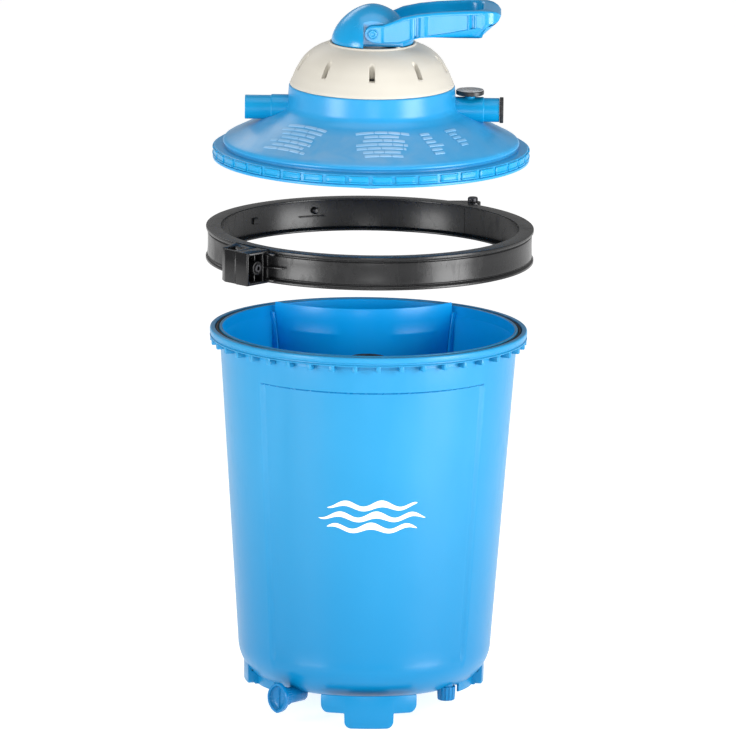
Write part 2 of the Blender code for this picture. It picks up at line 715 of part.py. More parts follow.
def build_cover_screw(index, steel):
    floor = SCREW_FLOOR + GAP
    profile = [(0.0, 0.106), (0.0021, 0.106), (0.0021, floor), (0.0042, floor), (0.0042, floor + 0.0025),
               (0.0030, floor + 0.0038), (0.0, floor + 0.0038)]
    screw = turned("valve_cover_screw_" + str(index + 1), profile, steel, 8)
    return shift(screw, Matrix.Translation(at(360.0 * index / SCREW_COUNT, SCREW_CIRCLE)))


def build_gauge(black, white, clear, red):
    """Round gauge facing up on the right-hand port: case, dial, needle and lens."""
    low = 0.1042
    case = turned("gauge_case", [(0.0, low), (0.022, low), (0.022, low + 0.0066), (0.0206, low + 0.0076),
                                 (0.0206, low + 0.002), (0.0, low + 0.002)], black, 24)
    dial = turned("gauge_dial", [(0.0, low + 0.0023), (0.0202, low + 0.0023), (0.0202, low + 0.0033),
                                 (0.0, low + 0.0033)], white, 24)
    needle = prism("gauge_needle", [(-0.0055, -0.0009), (0.0150, -0.0003), (0.0150, 0.0003), (-0.0055, 0.0009)],
                   low + 0.0037, low + 0.0044, red)
    shift(needle, Matrix.Rotation(math.radians(225.0), 4, "Z"))
    lens = turned("gauge_lens", [(0.0, low + 0.0052), (0.0202, low + 0.0052), (0.0202, low + 0.0072),
                                 (0.0, low + 0.0078)], clear, 24)
    move = Matrix.Translation((GAUGE_AT, 0.0, 0.0))
    return [shift(piece, move) for piece in (case, dial, needle, lens)]


def build_port_seal(black):
    start = 0.2005 + GAP
    ring = turned("port_seal", [(PORT_BORE, start), (0.0204, start), (0.0204, start + 0.006),
                                (PORT_BORE, start + 0.006)], black, 20)
    return shift(ring, radial_axis(90.0, PORT_HEIGHT))


# ---------------------------------------------------------------- lever valve

def bonnet_radius(height):
    """The bonnet's rounded, slightly conical dome."""
    rise = (height - BONNET_SHOULDER) / (BONNET_TOP - BONNET_SHOULDER)
    return BONNET_RADIUS * (1.0 - rise ** 1.6) ** 0.571


def build_bonnet(blue):
    """Dome over the shaft, flat where the lever's arms pass and slotted for the pin to lift."""
    steps = 9
    dome = []
    for step in range(1, steps):
        height = BONNET_SHOULDER + (BONNET_TOP - BONNET_SHOULDER) * math.sin(math.pi / 2 * step / steps)
        dome.append((bonnet_radius(height), height))
    cavity = [(0.0, 0.2295), (0.020, 0.2295), (0.020, 0.216), (0.036, 0.216), (0.036, BONNET_BASE)]
    profile = cavity + [(BONNET_RADIUS, BONNET_BASE), (BONNET_RADIUS, BONNET_SHOULDER)] + dome
    profile.append((0.0, BONNET_TOP))
    bonnet = turned("handle_bonnet", profile, blue, 32)
    flat = LEVER_INNER - GAP
    cheeks = [box((-0.0145, min(side * flat, side * 0.1), 0.170), (0.090, max(side * flat, side * 0.1), 0.260))
              for side in (1.0, -1.0)]
    slot = box((-0.0046, -0.080, LEVER_PIN_HEIGHT - 0.0046), (0.0046, 0.080, LEVER_PIN_HEIGHT + 0.0110))
    return cut(bonnet, gather(cheeks), slot)


def lever_side_outline():
    """Side view of the lever from its pin at (0, 0): a rounded root, a raised arm and a hooked grip."""
    root = arc_points(0.0125, 95.0, 235.0, 5)
    under = [(0.004, -0.0142), (0.020, -0.0150), (0.041, -0.0150), (0.059, -0.0095), (0.075, -0.0050),
             (0.095, -0.0040), (0.130, -0.0046), (0.165, -0.0045), (0.173, 0.0020), (0.178, 0.0115)]
    tip = [(0.190, 0.0145), (0.198, 0.0200), (0.201, 0.0290), (0.199, 0.0330), (0.194, 0.0362)]
    over = [(0.180, 0.0385), (0.143, 0.0378), (0.103, 0.0355), (0.073, 0.0320), (0.047, 0.0265),
            (0.030, 0.0188), (0.015, 0.0133)]
    return root + under + tip + over


def rounded_end(start, end, half_width, radius, steps):
    """A plan outline that is square at its left end and rounded at its right end."""
    corner = end - radius
    lower = arc_points(radius, -90.0, 0.0, steps, (corner, radius - half_width))
    upper = arc_points(radius, 0.0, 90.0, steps, (corner, half_width - radius))
    return [(start, half_width), (start, -half_width)] + lower + upper


def build_lever(blue):
    """Two arms joined by the grip: the side outline, cut by its plan outline and hollowed."""
    lever = prism("lever_handle", lever_side_outline(), -LEVER_OUTER, LEVER_OUTER, blue)
    shift(lever, Matrix.Rotation(math.pi / 2, 4, "X"))
    plan = prism("plan", rounded_end(-0.030, 0.202, LEVER_OUTER - 0.0001, 0.030, 5), -0.060, 0.080)
    merge(lever, plan, "INTERSECT")
    window = prism("window", rounded_end(-0.040, 0.172, LEVER_INNER, 0.022, 4), -0.060, 0.080)
    cut(lever, window)
    pin_hole = shift(rod(0.0043, -0.080, 0.080, 12), Matrix.Rotation(math.pi / 2, 4, "X"))
    cut(lever, pin_hole)
    return shift(lever, Matrix.Translation((0.0, 0.0, LEVER_PIN_HEIGHT)))


def build_pivot_pin(blue):
    pin = turned("pivot_pin", [(0.0, -0.0526), (0.004, -0.0526), (0.004, 0.0528), (0.0068, 0.0528),
                               (0.0068, 0.0540), (0.0, 0.0546)], blue, 16)
    shift(pin, Matrix.Rotation(math.pi / 2, 4, "X"))
    return shift(pin, Matrix.Translation((0.0, 0.0, LEVER_PIN_HEIGHT)))


def build_shaft(steel):
    """Valve shaft with a collar over the rotor and a slotted eye, so that it can lift past the pin."""
    profile = [(0.0, 0.0640), (0.0098, 0.0640), (0.0098, 0.0930), (0.018, 0.0930), (0.018, 0.0970),
               (0.010, 0.0970), (0.010, 0.1950), (0.0, 0.1950)]
    shaft = turned("rotor_shaft", profile, steel, 14)
    eye = box((-0.0115, -0.0115, 0.1900), (0.0115, 0.0115, 0.2190))
    add(shaft, eye)
    slot = box((-0.0044, -0.050, LEVER_PIN_HEIGHT - 0.0106), (0.0044, 0.050, LEVER_PIN_HEIGHT + 0.0043))
    return cut(shaft, slot)


def build_rotor(white):
    profile = [(0.0102, 0.0653), (0.086, 0.0653), (0.086, 0.0745), (0.030, 0.0926), (0.0102, 0.0926)]
    rotor = turned("valve_rotor", profile, white, 28)
    window = prism("window", [(0.030, -0.012), (0.078, -0.030), (0.078, 0.030), (0.030, 0.012)], 0.050, 0.110)
    return cut(rotor, window)


def build_spider_gasket(rubber):
    gasket = turned("spider_gasket", [(0.034, 0.0623), (0.088, 0.0623), (0.088, 0.0650), (0.034, 0.0650)],
                    rubber, 28)
    openings = []
    for index in range(6):
        window = prism("window", [(0.042, -0.015), (0.080, -0.032), (0.080, 0.032), (0.042, 0.015)],
                       0.050, 0.080)
        openings.append(shift(window, outward(60.0 * index)))
    return cut(gasket, gather(openings))


def build_spring(steel):
    """Compression spring between the shaft's collar and the cover."""
    turns = 5
    steps = 12
    sides = 6
    wire = 0.0018
    radius = 0.0205
    low, high = 0.0995, 0.1760
    bm = bmesh.new()
    rings = []
    for step in range(turns * steps + 1):
        share = step / (turns * steps)
        angle = math.tau * turns * share
        centre = Vector((radius * math.cos(angle), radius * math.sin(angle), low + (high - low) * share))
        outwards = Vector((math.cos(angle), math.sin(angle), 0.0))
        ring = []
        for x, z in arc_points(wire, 0.0, 360.0, sides)[:-1]:
            ring.append(bm.verts.new(centre + outwards * x + Vector((0.0, 0.0, z))))
        rings.append(ring)
    bm.faces.new(rings[0])
    bm.faces.new(rings[-1])
    for near, far in zip(rings, rings[1:]):
        for index in range(sides):
            following = (index + 1) % sides
            bm.faces.new((near[index], near[following], far[following], far[index]))
    return make("valve_spring", bm, steel)


# ---------------------------------------------------------------- the object

def build_tank_group(blue, white, rubber):
    frame = group_frame("tank_frame", 0.0)
    frame.rotation_euler.z = math.radians(TANK_TURN)
    place(build_tank(blue), frame)
    place(build_baffle(blue), frame)
    place(ring_of("flange_o_ring", 0.2378, 0.0026, RIM_HEIGHT - 0.0029, rubber), frame)
    place(build_standpipe(white), frame)
    seal = turned("standpipe_seal", [(0.0215, STANDPIPE_TOP + GAP), (0.029, STANDPIPE_TOP + GAP),
                                     (0.029, STANDPIPE_TOP + 0.0035), (0.0215, STANDPIPE_TOP + 0.0035)],
                  rubber, 20)
    place(seal, frame)
    place(build_lateral_hub(white), frame)
    for index in range(LATERAL_COUNT):
        place(build_lateral(index, white), frame)
    for piece in build_wing_drain(blue, rubber):
        place(piece, frame, at(WING_AZIMUTH, WING_BOSS_END, WING_HEIGHT))
    for piece in build_plug_drain(blue, rubber):
        place(piece, frame, at(PLUG_AZIMUTH, PLUG_RADIUS_AT, FLOOR_UNDERSIDE))


def build_clamp_group(charcoal, steel):
    frame = group_frame("clamp_frame", CLAMP_HEIGHT_AT_REST)
    hinge = at(HINGE_AZIMUTH, HINGE_RADIUS)
    place(build_clamp_rear(charcoal), frame)
    place(build_clamp_front(charcoal), frame, hinge)
    place(build_hinge_pin(steel), frame, hinge)
    for piece in build_bolt_set(steel):
        place(piece, frame, at(SPLIT_AZIMUTH, BOLT_RADIUS_AT))


def build_lid_group(blue, white, dial_white, black, rubber, steel, clear, red):
    frame = group_frame("lid_frame", LID_HEIGHT_AT_REST)
    place(build_lid(blue), frame)
    place(build_valve_cover(white), frame)
    place(ring_of("cover_o_ring", 0.1145, 0.0014, RING_TOP - 0.0016, rubber), frame)
    for index in range(SCREW_COUNT):
        place(build_cover_screw(index, steel), frame)
    place(build_spider_gasket(rubber), frame)
    place(build_port_seal(black), frame)
    for piece in build_gauge(black, dial_white, clear, red):
        place(piece, frame, (GAUGE_AT, 0.0, 0.1042))
    place(ring_of("shaft_o_ring", 0.0140, 0.0016, COVER_PLATE_TOP + 0.0019, rubber, 16), frame)
    place(build_bonnet(blue), frame)
    washer = turned("thrust_washer", [(0.0365, COVER_PLATE_TOP + GAP), (0.043, COVER_PLATE_TOP + GAP),
                                      (0.043, BONNET_BASE - GAP), (0.0365, BONNET_BASE - GAP)], dial_white, 24)
    place(washer, frame)
    place(build_spring(steel), frame)
    place(build_shaft(steel), frame)
    place(build_rotor(white), frame)
    pin = (0.0, 0.0, LEVER_PIN_HEIGHT)
    place(build_pivot_pin(blue), frame, pin)
    place(build_lever(blue), frame, pin)


def main():
    for leftover in list(bpy.data.objects):
        bpy.data.objects.remove(leftover)
    blue = finish("blue_plastic", (0.0, 0.34, 0.77), 0.32)
    white = finish("white_plastic", (0.76, 0.71, 0.63), 0.38)
    charcoal = finish("charcoal_plastic", (0.045, 0.045, 0.048), 0.38)
    rubber = finish("black_rubber", (0.02, 0.02, 0.02), 0.7)
    black = finish("black_plastic", (0.025, 0.025, 0.028), 0.45)
    dial_white = finish("dial_white", (0.82, 0.82, 0.80), 0.5)
    red = finish("needle_red", (0.6, 0.03, 0.02), 0.5)
    clear = finish("clear_lens", (0.85, 0.88, 0.9), 0.1)
    steel = finish("steel", (0.35, 0.35, 0.36), 0.35, 1.0)
    build_tank_group(blue, white, rubber)
    build_clamp_group(charcoal, steel)
    build_lid_group(blue, white, dial_white, black, rubber, steel, clear, red)


main()
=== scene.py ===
"""Looks for the water filter that is shown apart: smooth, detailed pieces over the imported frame."""

import math
import random

import bmesh
import bpy
from mathutils import Matrix, Vector


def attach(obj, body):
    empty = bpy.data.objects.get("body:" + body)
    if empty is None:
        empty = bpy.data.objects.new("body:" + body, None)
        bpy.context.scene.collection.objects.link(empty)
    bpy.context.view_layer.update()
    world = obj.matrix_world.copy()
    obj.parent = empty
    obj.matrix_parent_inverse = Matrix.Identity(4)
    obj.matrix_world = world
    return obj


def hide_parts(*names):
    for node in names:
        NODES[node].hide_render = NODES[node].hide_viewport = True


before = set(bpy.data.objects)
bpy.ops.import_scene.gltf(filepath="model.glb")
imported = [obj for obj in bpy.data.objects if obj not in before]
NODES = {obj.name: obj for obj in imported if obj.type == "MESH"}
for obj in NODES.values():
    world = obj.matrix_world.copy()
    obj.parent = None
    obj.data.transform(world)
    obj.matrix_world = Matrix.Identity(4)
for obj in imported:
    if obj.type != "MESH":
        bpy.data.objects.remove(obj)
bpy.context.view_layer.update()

# Heights of the clamp's middle plane and the lid's lower face, and the tank's turn about its axis.
CLAMP_Z = 0.741
LID_Z = 0.876
TANK_TURN = 2.8


# ---------------------------------------------------------------- materials

def shader_of(name, rough, spec=0.5, metal=0.0, coat=0.0, coat_rough=0.1):
    material = bpy.data.materials.new(name)
    material.use_nodes = True
    tree = material.node_tree
    shader = tree.nodes["Principled BSDF"]
    shader.inputs["Roughness"].default_value = rough
    shader.inputs["Specular IOR Level"].default_value = spec
    shader.inputs["Metallic"].default_value = metal
    shader.inputs["Coat Weight"].default_value = coat
    shader.inputs["Coat Roughness"].default_value = coat_rough
    return material, tree, shader


def noise(tree, scale, detail=3.0, stretch=None, distort=0.0):
    """Noise in the piece's own metres; stretch lengthens the pattern along each axis."""
    coords = tree.nodes.new("ShaderNodeTexCoord")
    texture = tree.nodes.new("ShaderNodeTexNoise")
    texture.inputs["Scale"].default_value = scale
    texture.inputs["Detail"].default_value = detail
    texture.inputs["Distortion"].default_value = distort
    if stretch:
        mapping = tree.nodes.new("ShaderNodeMapping")
        mapping.inputs["Scale"].default_value = stretch
        tree.links.new(coords.outputs["Object"], mapping.inputs["Vector"])
        tree.links.new(mapping.outputs["Vector"], texture.inputs["Vector"])
    else:
        tree.links.new(coords.outputs["Object"], texture.inputs["Vector"])
    return texture.outputs["Fac"]


def spread(tree, value, low, high, to_low, to_high):
    node = tree.nodes.new("ShaderNodeMapRange")
    node.inputs["From Min"].default_value = low
    node.inputs["From Max"].default_value = high
    node.inputs["To Min"].default_value = to_low
    node.inputs["To Max"].default_value = to_high
    tree.links.new(value, node.inputs["Value"])
    return node.outputs["Result"]


def blend_colour(tree, factor, first, second):
    node = tree.nodes.new("ShaderNodeMix")
    node.data_type = "RGBA"
    for socket, value in ((node.inputs[6], first), (node.inputs[7], second)):
        if isinstance(value, tuple):
            socket.default_value = (*value, 1.0)
        else:
            tree.links.new(value, socket)
    tree.links.new(factor, node.inputs[0])
    return node.outputs[2]


def bump(tree, shader, heights):
    """Adds up (value, strength, distance) heights into the shader's normal."""
    previous = None
    for value, strength, distance in heights:
        node = tree.nodes.new("ShaderNodeBump")
        node.inputs["Strength"].default_value = strength
        node.inputs["Distance"].default_value = distance
        tree.links.new(value, node.inputs["Height"])
        if previous is not None:
            tree.links.new(previous, node.inputs["Normal"])
        previous = node.outputs["Normal"]
    tree.links.new(previous, shader.inputs["Normal"])


def axis_part(tree, which):
    """The piece's own "x" or height ("z"), or its distance from its own upright axis ("r")."""
    coords = tree.nodes.new("ShaderNodeTexCoord")
    split = tree.nodes.new("ShaderNodeSeparateXYZ")
    tree.links.new(coords.outputs["Object"], split.inputs[0])
    if which in "xz":
        return split.outputs["xyz".index(which)]
    flat = tree.nodes.new("ShaderNodeCombineXYZ")
    tree.links.new(split.outputs[0], flat.inputs[0])
    tree.links.new(split.outputs[1], flat.inputs[1])
    length = tree.nodes.new("ShaderNodeVectorMath")
    length.operation = "LENGTH"
    tree.links.new(flat.outputs[0], length.inputs[0])
    return length.outputs["Value"]


def moulded(name, colour, deep, pale, rough, spec=0.5, coat=0.0, grain=0.00006, scuffs=0.5, flow=None, painted_low_shade=None,
            dust_and_sheen=None):
    """Moulded plastic: slow mottling, faint flow marks, fine grain, scuffs and pale specks. An optional deepening
    towards the floor is painted shade; an optional greyish cover outside a radius is worn dust mixed with painted
    sheen, full on the -x side and fading near the rim."""
    material, tree, shader = shader_of(name, rough, spec, 0.0, coat, 0.16)
    slow = spread(tree, noise(tree, 7.0, 2.0), 0.35, 0.68, 0.0, 1.0)
    base = blend_colour(tree, slow, deep, colour)
    marks = spread(tree, noise(tree, 10.0, 4.0, flow or (1.0, 1.0, 0.18), 0.3), 0.5, 0.78, 0.0, 0.35)
    base = blend_colour(tree, marks, base, pale)
    specks = spread(tree, noise(tree, 240.0, 2.0), 0.70, 0.80, 0.0, 0.22 * scuffs)
    base = blend_colour(tree, specks, base, pale)
    # Greyish dust outside a radius, mixed with painted sheen.
    if dust_and_sheen:
        cover = spread(tree, axis_part(tree, "r"), dust_and_sheen[0], dust_and_sheen[1], 0.0, 1.0)
        cloud = spread(tree, noise(tree, 26.0, 6.0, None, 0.8), 0.30, 0.66, 0.35, 0.95)
        both = tree.nodes.new("ShaderNodeMath")
        both.operation = "MULTIPLY"
        tree.links.new(cover, both.inputs[0])
        tree.links.new(cloud, both.inputs[1])
        # Painted sheen: the grey cover is full on the -x side and thins towards +x, where less light is reflected.
        side = spread(tree, axis_part(tree, "x"), 0.0, 0.17, 1.0, 0.35)
        rim = spread(tree, axis_part(tree, "r"), 0.222, 0.232, 1.0, 0.0)
        even_out = tree.nodes.new("ShaderNodeMath")
        even_out.operation = "MULTIPLY"
        tree.links.new(rim, even_out.inputs[0])
        tree.links.new(side, even_out.inputs[1])
        rim = even_out.outputs[0]
        inside = tree.nodes.new("ShaderNodeMath")
        inside.operation = "MULTIPLY"
        tree.links.new(both.outputs[0], inside.inputs[0])
        tree.links.new(rim, inside.inputs[1])
        base = blend_colour(tree, inside.outputs[0], base, (0.125, 0.315, 0.530))
    # Painted shade: the colour deepens towards the floor, where less light reaches.
    if painted_low_shade:
        height = spread(tree, axis_part(tree, "z"), painted_low_shade[0], painted_low_shade[1], 0.0, 1.0)
        base = blend_colour(tree, height, painted_low_shade[2], base)
    tree.links.new(base, shader.inputs["Base Color"])
    scuff = spread(tree, noise(tree, 55.0, 6.0, (1.0, 1.0, 0.35), 1.2), 0.52, 0.75, 0.0, 0.16 * scuffs)
    add = tree.nodes.new("ShaderNodeMath")
    add.operation = "ADD"
    add.inputs[1].default_value = rough
    tree.links.new(scuff, add.inputs[0])
    tree.links.new(add.outputs[0], shader.inputs["Roughness"])
    bump(tree, shader, [(noise(tree, 900.0, 2.0), 0.35, grain), (noise(tree, 38.0, 2.0), 0.3, grain * 4.0)])
    return material


def rubber(name, colour):
    material, tree, shader = shader_of(name, 0.62, 0.35)
    dust = spread(tree, noise(tree, 120.0, 5.0), 0.5, 0.8, 0.0, 0.35)
    tree.links.new(blend_colour(tree, dust, colour, (0.16, 0.16, 0.165)), shader.inputs["Base Color"])
    bump(tree, shader, [(noise(tree, 1100.0, 2.0), 0.5, 0.00008)])
    return material


def metal(name, colour, rough, brushed=(1.0, 1.0, 12.0)):
    material, tree, shader = shader_of(name, rough, 0.5, 1.0)
    streak = spread(tree, noise(tree, 260.0, 3.0, brushed), 0.3, 0.7, 0.0, 1.0)
    dark = tuple(channel * 0.72 for channel in colour)
    tree.links.new(blend_colour(tree, streak, dark, colour), shader.inputs["Base Color"])
    tree.links.new(spread(tree, streak, 0.0, 1.0, rough * 0.8, rough * 1.35), shader.inputs["Roughness"])
    bump(tree, shader, [(streak, 0.2, 0.00004)])
    return material


def glassy(name):
    """A clear lens: mostly see-through, with a few faint scratches."""
    material, tree, shader = shader_of(name, 0.06, 0.6)
    shader.inputs["Alpha"].default_value = 0.32
    tint = spread(tree, noise(tree, 60.0, 4.0), 0.4, 0.7, 0.0, 1.0)
    tree.links.new(blend_colour(tree, tint, (0.86, 0.89, 0.92), (0.93, 0.95, 0.96)), shader.inputs["Base Color"])
    bump(tree, shader, [(noise(tree, 300.0, 6.0, (1.0, 0.05, 1.0)), 0.12, 0.00003)])
    return material


# The tank's blue turns deeper towards the floor: painted shade on its lower part.
BLUE = moulded("sky_blue_plastic", (0.016, 0.238, 0.470), (0.012, 0.226, 0.452), (0.042, 0.275, 0.520), 0.32, spec=0.30,
               painted_low_shade=(0.10, 0.42, (0.0, 0.180, 0.395)))
# The lid's dish gets greyish dust mixed with painted sheen, strongest on its -x side.
LID_BLUE = moulded("lid_blue_plastic", (0.02, 0.275, 0.560), (0.014, 0.255, 0.53), (0.06, 0.34, 0.62), 0.30,
                   spec=0.36, scuffs=0.7, flow=(1.0, 1.0, 1.0), dust_and_sheen=(0.148, 0.168))
PORT_BLUE = moulded("port_blue_plastic", (0.0, 0.262, 0.530), (0.0, 0.245, 0.50), (0.02, 0.30, 0.58), 0.30,
                    spec=0.34, scuffs=0.7, flow=(1.0, 1.0, 1.0))
HANDLE_BLUE = moulded("handle_blue_plastic", (0.0, 0.265, 0.550), (0.0, 0.245, 0.52), (0.02, 0.31, 0.62), 0.22,
                      spec=0.50, coat=0.08, scuffs=0.4)
CAP_BLUE = moulded("cap_blue_plastic", (0.0, 0.152, 0.365), (0.0, 0.132, 0.33), (0.02, 0.21, 0.47), 0.26, spec=0.26,
                   coat=0.05)
# Painted shade: a dark blue laid on the wall between the flange ribs and behind the lid's rim gaps.
PAINTED_SHADE_BLUE = moulded("painted_gap_shade_blue", (0.0, 0.120, 0.330), (0.0, 0.105, 0.30), (0.01, 0.16, 0.40), 0.45, spec=0.25)
INNER_BLUE = moulded("baffle_blue_plastic", (0.0, 0.400, 0.90), (0.0, 0.37, 0.86), (0.02, 0.44, 0.92), 0.3, spec=0.3)
# Painted light: a lighter copy of the tank's blue for its shaded inside faces and rails.
SHELL_LIT_BLUE = moulded("shell_inside_painted_light_blue", (0.0, 0.400, 0.90), (0.0, 0.37, 0.86), (0.02, 0.44, 0.92), 0.3, spec=0.2)
# A paler, greyish blue for the raised bars on the dish.
TEXT_BLUE = moulded("pale_bar_blue_plastic", (0.245, 0.435, 0.640), (0.13, 0.36, 0.60), (0.40, 0.54, 0.68), 0.5)
COVER_WHITE = moulded("warm_white_plastic", (0.540, 0.512, 0.451), (0.515, 0.487, 0.427), (0.585, 0.56, 0.50), 0.42,
                      spec=0.3,
                      grain=0.00009, scuffs=0.6, flow=(1.0, 1.0, 1.0))
PIPE_WHITE = moulded("pipe_white_plastic", (0.72, 0.72, 0.70), (0.66, 0.66, 0.63), (0.80, 0.80, 0.78), 0.4)
MARK_WHITE = moulded("printed_white", (0.86, 0.88, 0.88), (0.80, 0.83, 0.84), (0.92, 0.93, 0.93), 0.45)
CHARCOAL = moulded("charcoal_plastic", (0.0062, 0.0064, 0.0070), (0.005, 0.0051, 0.0056), (0.018, 0.0183, 0.019), 0.25,
                   spec=0.35, coat=0.0, grain=0.00011, scuffs=0.8, flow=(1.0, 1.0, 0.6))
BLACK = moulded("black_plastic", (0.013, 0.013, 0.014), (0.010, 0.010, 0.011), (0.035, 0.035, 0.037), 0.38)
GREY = moulded("lens_rim_grey", (0.50, 0.51, 0.52), (0.44, 0.45, 0.46), (0.60, 0.61, 0.62), 0.35)
DIAL = moulded("dial_white", (0.80, 0.80, 0.78), (0.76, 0.76, 0.74), (0.84, 0.84, 0.82), 0.55)
INK = moulded("dial_ink", (0.02, 0.02, 0.022), (0.015, 0.015, 0.016), (0.03, 0.03, 0.03), 0.6)
RED = moulded("needle_red", (0.55, 0.03, 0.02), (0.48, 0.02, 0.015), (0.62, 0.06, 0.04), 0.45)
RUBBER = rubber("black_rubber", (0.018, 0.018, 0.019))
STEEL = metal("plain_steel", (0.56, 0.57, 0.58), 0.28)
DARK_STEEL = metal("dark_steel", (0.07, 0.07, 0.075), 0.36)
GLASS = glassy("clear_lens")


# ---------------------------------------------------------------- mesh helpers

def at(azimuth, radius, height=0.0):
    """A point at an azimuth in degrees, counted from the front (-Y) towards +X."""
    angle = math.radians(azimuth)
    return Vector((radius * math.sin(angle), -radius * math.cos(angle), height))


def outward(azimuth):
    return Matrix.Rotation(math.radians(azimuth - 90.0), 4, "Z")


def radial_axis(azimuth, height=0.0):
    """Turns local +Z to point outwards along an azimuth."""
    return Matrix.Translation((0.0, 0.0, height)) @ outward(azimuth) @ Matrix.Rotation(math.pi / 2, 4, "Y")


def lift(height):
    return Matrix.Translation((0.0, 0.0, height))


def turn(azimuth):
    return Matrix.Rotation(math.radians(azimuth), 4, "Z")


def arc(radius, start, end, steps, centre=(0.0, 0.0)):
    points = []
    for step in range(steps + 1):
        angle = math.radians(start + (end - start) * step / steps)
        points.append((centre[0] + radius * math.cos(angle), centre[1] + radius * math.sin(angle)))
    return points


def soften(points, radius, steps=4, closed=True, sharp=0.12):
    """Rounds the corners of a line or ring of 2-D points; radius is how far from the corner it starts."""
    count = len(points)
    result = []
    for index, point in enumerate(points):
        if not closed and index in (0, count - 1):
            result.append(point)
            continue
        before = Vector(points[index - 1])
        here = Vector(point)
        after = Vector(points[(index + 1) % count])
        back, ahead = before - here, after - here
        if back.length < 1e-7 or ahead.length < 1e-7:
            continue
        bend = math.pi - back.angle(ahead)
        if bend < sharp:
            result.append(point)
            continue
        reach = radius(index) if callable(radius) else radius
        start = here + back.normalized() * min(reach, back.length * 0.45)
        end = here + ahead.normalized() * min(reach, ahead.length * 0.45)
        for step in range(steps + 1):
            t = step / steps
            spot = start * (1 - t) ** 2 + here * (2 * t * (1 - t)) + end * t ** 2
            result.append((spot.x, spot.y))
    return result


def new_piece(name, bm, material, smooth=38.0):
    bmesh.ops.recalc_face_normals(bm, faces=bm.faces)
    mesh = bpy.data.meshes.new(name)
    bm.to_mesh(mesh)
    bm.free()
    piece = bpy.data.objects.new(name, mesh)
    bpy.context.scene.collection.objects.link(piece)
    if material is not None:
        mesh.materials.append(material)
    mesh.shade_smooth()
    mesh.set_sharp_from_angle(angle=math.radians(smooth))
    return piece


def even(count):
    return [360.0 * step / count for step in range(count)]


def lathe(name, profile, material, segments=168, azimuths=None, shape=None, smooth=38.0):
    """Turns (radius, height) points about Z. shape(azimuth, index, radius, height) may move a point."""
    azimuths = azimuths or even(segments)
    bm = bmesh.new()
    rings = []
    for index, (radius, height) in enumerate(profile):
        if radius <= 1e-9:
            rings.append([bm.verts.new((0.0, 0.0, height))])
            continue
        ring = []
        for azimuth in azimuths:
            r, z = shape(azimuth, index, radius, height) if shape else (radius, height)
            ring.append(bm.verts.new(at(azimuth, r, z)))
        rings.append(ring)
    pairs = list(zip(rings, rings[1:]))
    if profile[0][0] > 1e-9:
        pairs.append((rings[-1], rings[0]))
    count = len(azimuths)
    for lower, upper in pairs:
        for step in range(count):
            after = (step + 1) % count
            corners = [lower[step % len(lower)], lower[after % len(lower)],
                       upper[after % len(upper)], upper[step % len(upper)]]
            bm.faces.new(list(dict.fromkeys(corners)))
    return new_piece(name, bm, material, smooth)


def loft(name, rings, material, closed=False, smooth=38.0):
    """Skins rings of 3-D points; the ends are filled unless the loft closes on itself."""
    bm = bmesh.new()
    made = [[bm.verts.new(point) for point in ring] for ring in rings]
    if not closed:
        bm.faces.new(made[0])
        bm.faces.new(made[-1])
    pairs = list(zip(made, made[1:]))
    if closed:
        pairs.append((made[-1], made[0]))
    for near, far in pairs:
        for index in range(len(near)):
            after = (index + 1) % len(near)
            bm.faces.new((near[index], near[after], far[after], far[index]))
    return new_piece(name, bm, material, smooth)


def sweep(name, section, azimuths, material, smooth=38.0):
    """Sweeps a section of (radius, height) points, or section(azimuth), through azimuths."""
    rings = []
    for azimuth in azimuths:
        ring = section(azimuth) if callable(section) else section
        rings.append([at(azimuth, r, z) for r, z in ring])
    return loft(name, rings, material, smooth=smooth)


def prism(name, outline, low, high, material=None, smooth=38.0):
    return loft(name, [[(x, y, low) for x, y in outline], [(x, y, high) for x, y in outline]], material,
                smooth=smooth)


def steps_between(start, end, count):
    return [start + (end - start) * step / count for step in range(count + 1)]


def move(piece, matrix):
    piece.data.transform(matrix)
    if matrix.determinant() < 0:
        piece.data.flip_normals()
    return piece


def edges(piece, width, segments=2, angle=35.0):
    """Rounds the sharp edges."""
    modifier = piece.modifiers.new("rounded", "BEVEL")
    modifier.width = width
    modifier.segments = segments
    modifier.limit_method = "ANGLE"
    modifier.angle_limit = math.radians(angle)
    modifier.use_clamp_overlap = True
    modifier.harden_normals = True
    return piece


def boolean(piece, other, operation="DIFFERENCE"):
    modifier = piece.modifiers.new("cut", "BOOLEAN")
    modifier.operation = operation
    modifier.solver = "EXACT"
    modifier.object = other
    bpy.context.view_layer.update()
    result = bpy.data.meshes.new_from_object(piece.evaluated_get(bpy.context.evaluated_depsgraph_get()))
    piece.modifiers.clear()
    old = piece.data
    piece.data = result
    result.name = piece.name
    bpy.data.meshes.remove(old)
    bpy.data.objects.remove(other)
    piece.data.shade_smooth()
    piece.data.set_sharp_from_angle(angle=math.radians(38.0))
    return piece


def join(name, pieces):
    """Joins pieces of one material into one object, with their modifiers applied."""
    graph = bpy.context.evaluated_depsgraph_get()
    bm = bmesh.new()
    for piece in pieces:
        bm.from_mesh(bpy.data.meshes.new_from_object(piece.evaluated_get(graph)))
    material = pieces[0].data.materials[0]
    for piece in pieces:
        bpy.data.objects.remove(piece)
    mesh = bpy.data.meshes.new(name)
    bm.to_mesh(mesh)
    bm.free()
    mesh.materials.append(material)
    joined = bpy.data.objects.new(name, mesh)
    bpy.context.scene.collection.objects.link(joined)
    mesh.shade_smooth()
    mesh.set_sharp_from_angle(angle=math.radians(38.0))
    return joined


def dress(piece, body, slot, *nodes):
    """Puts a finished piece on its body, in the place of the CAD nodes that it stands for."""
    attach(piece, body)
    if nodes:
        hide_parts(*nodes)
    return piece


def repaint(material, *nodes):
    for name in nodes:
        mesh = NODES[name].data
        mesh.materials.clear()
        mesh.materials.append(material)


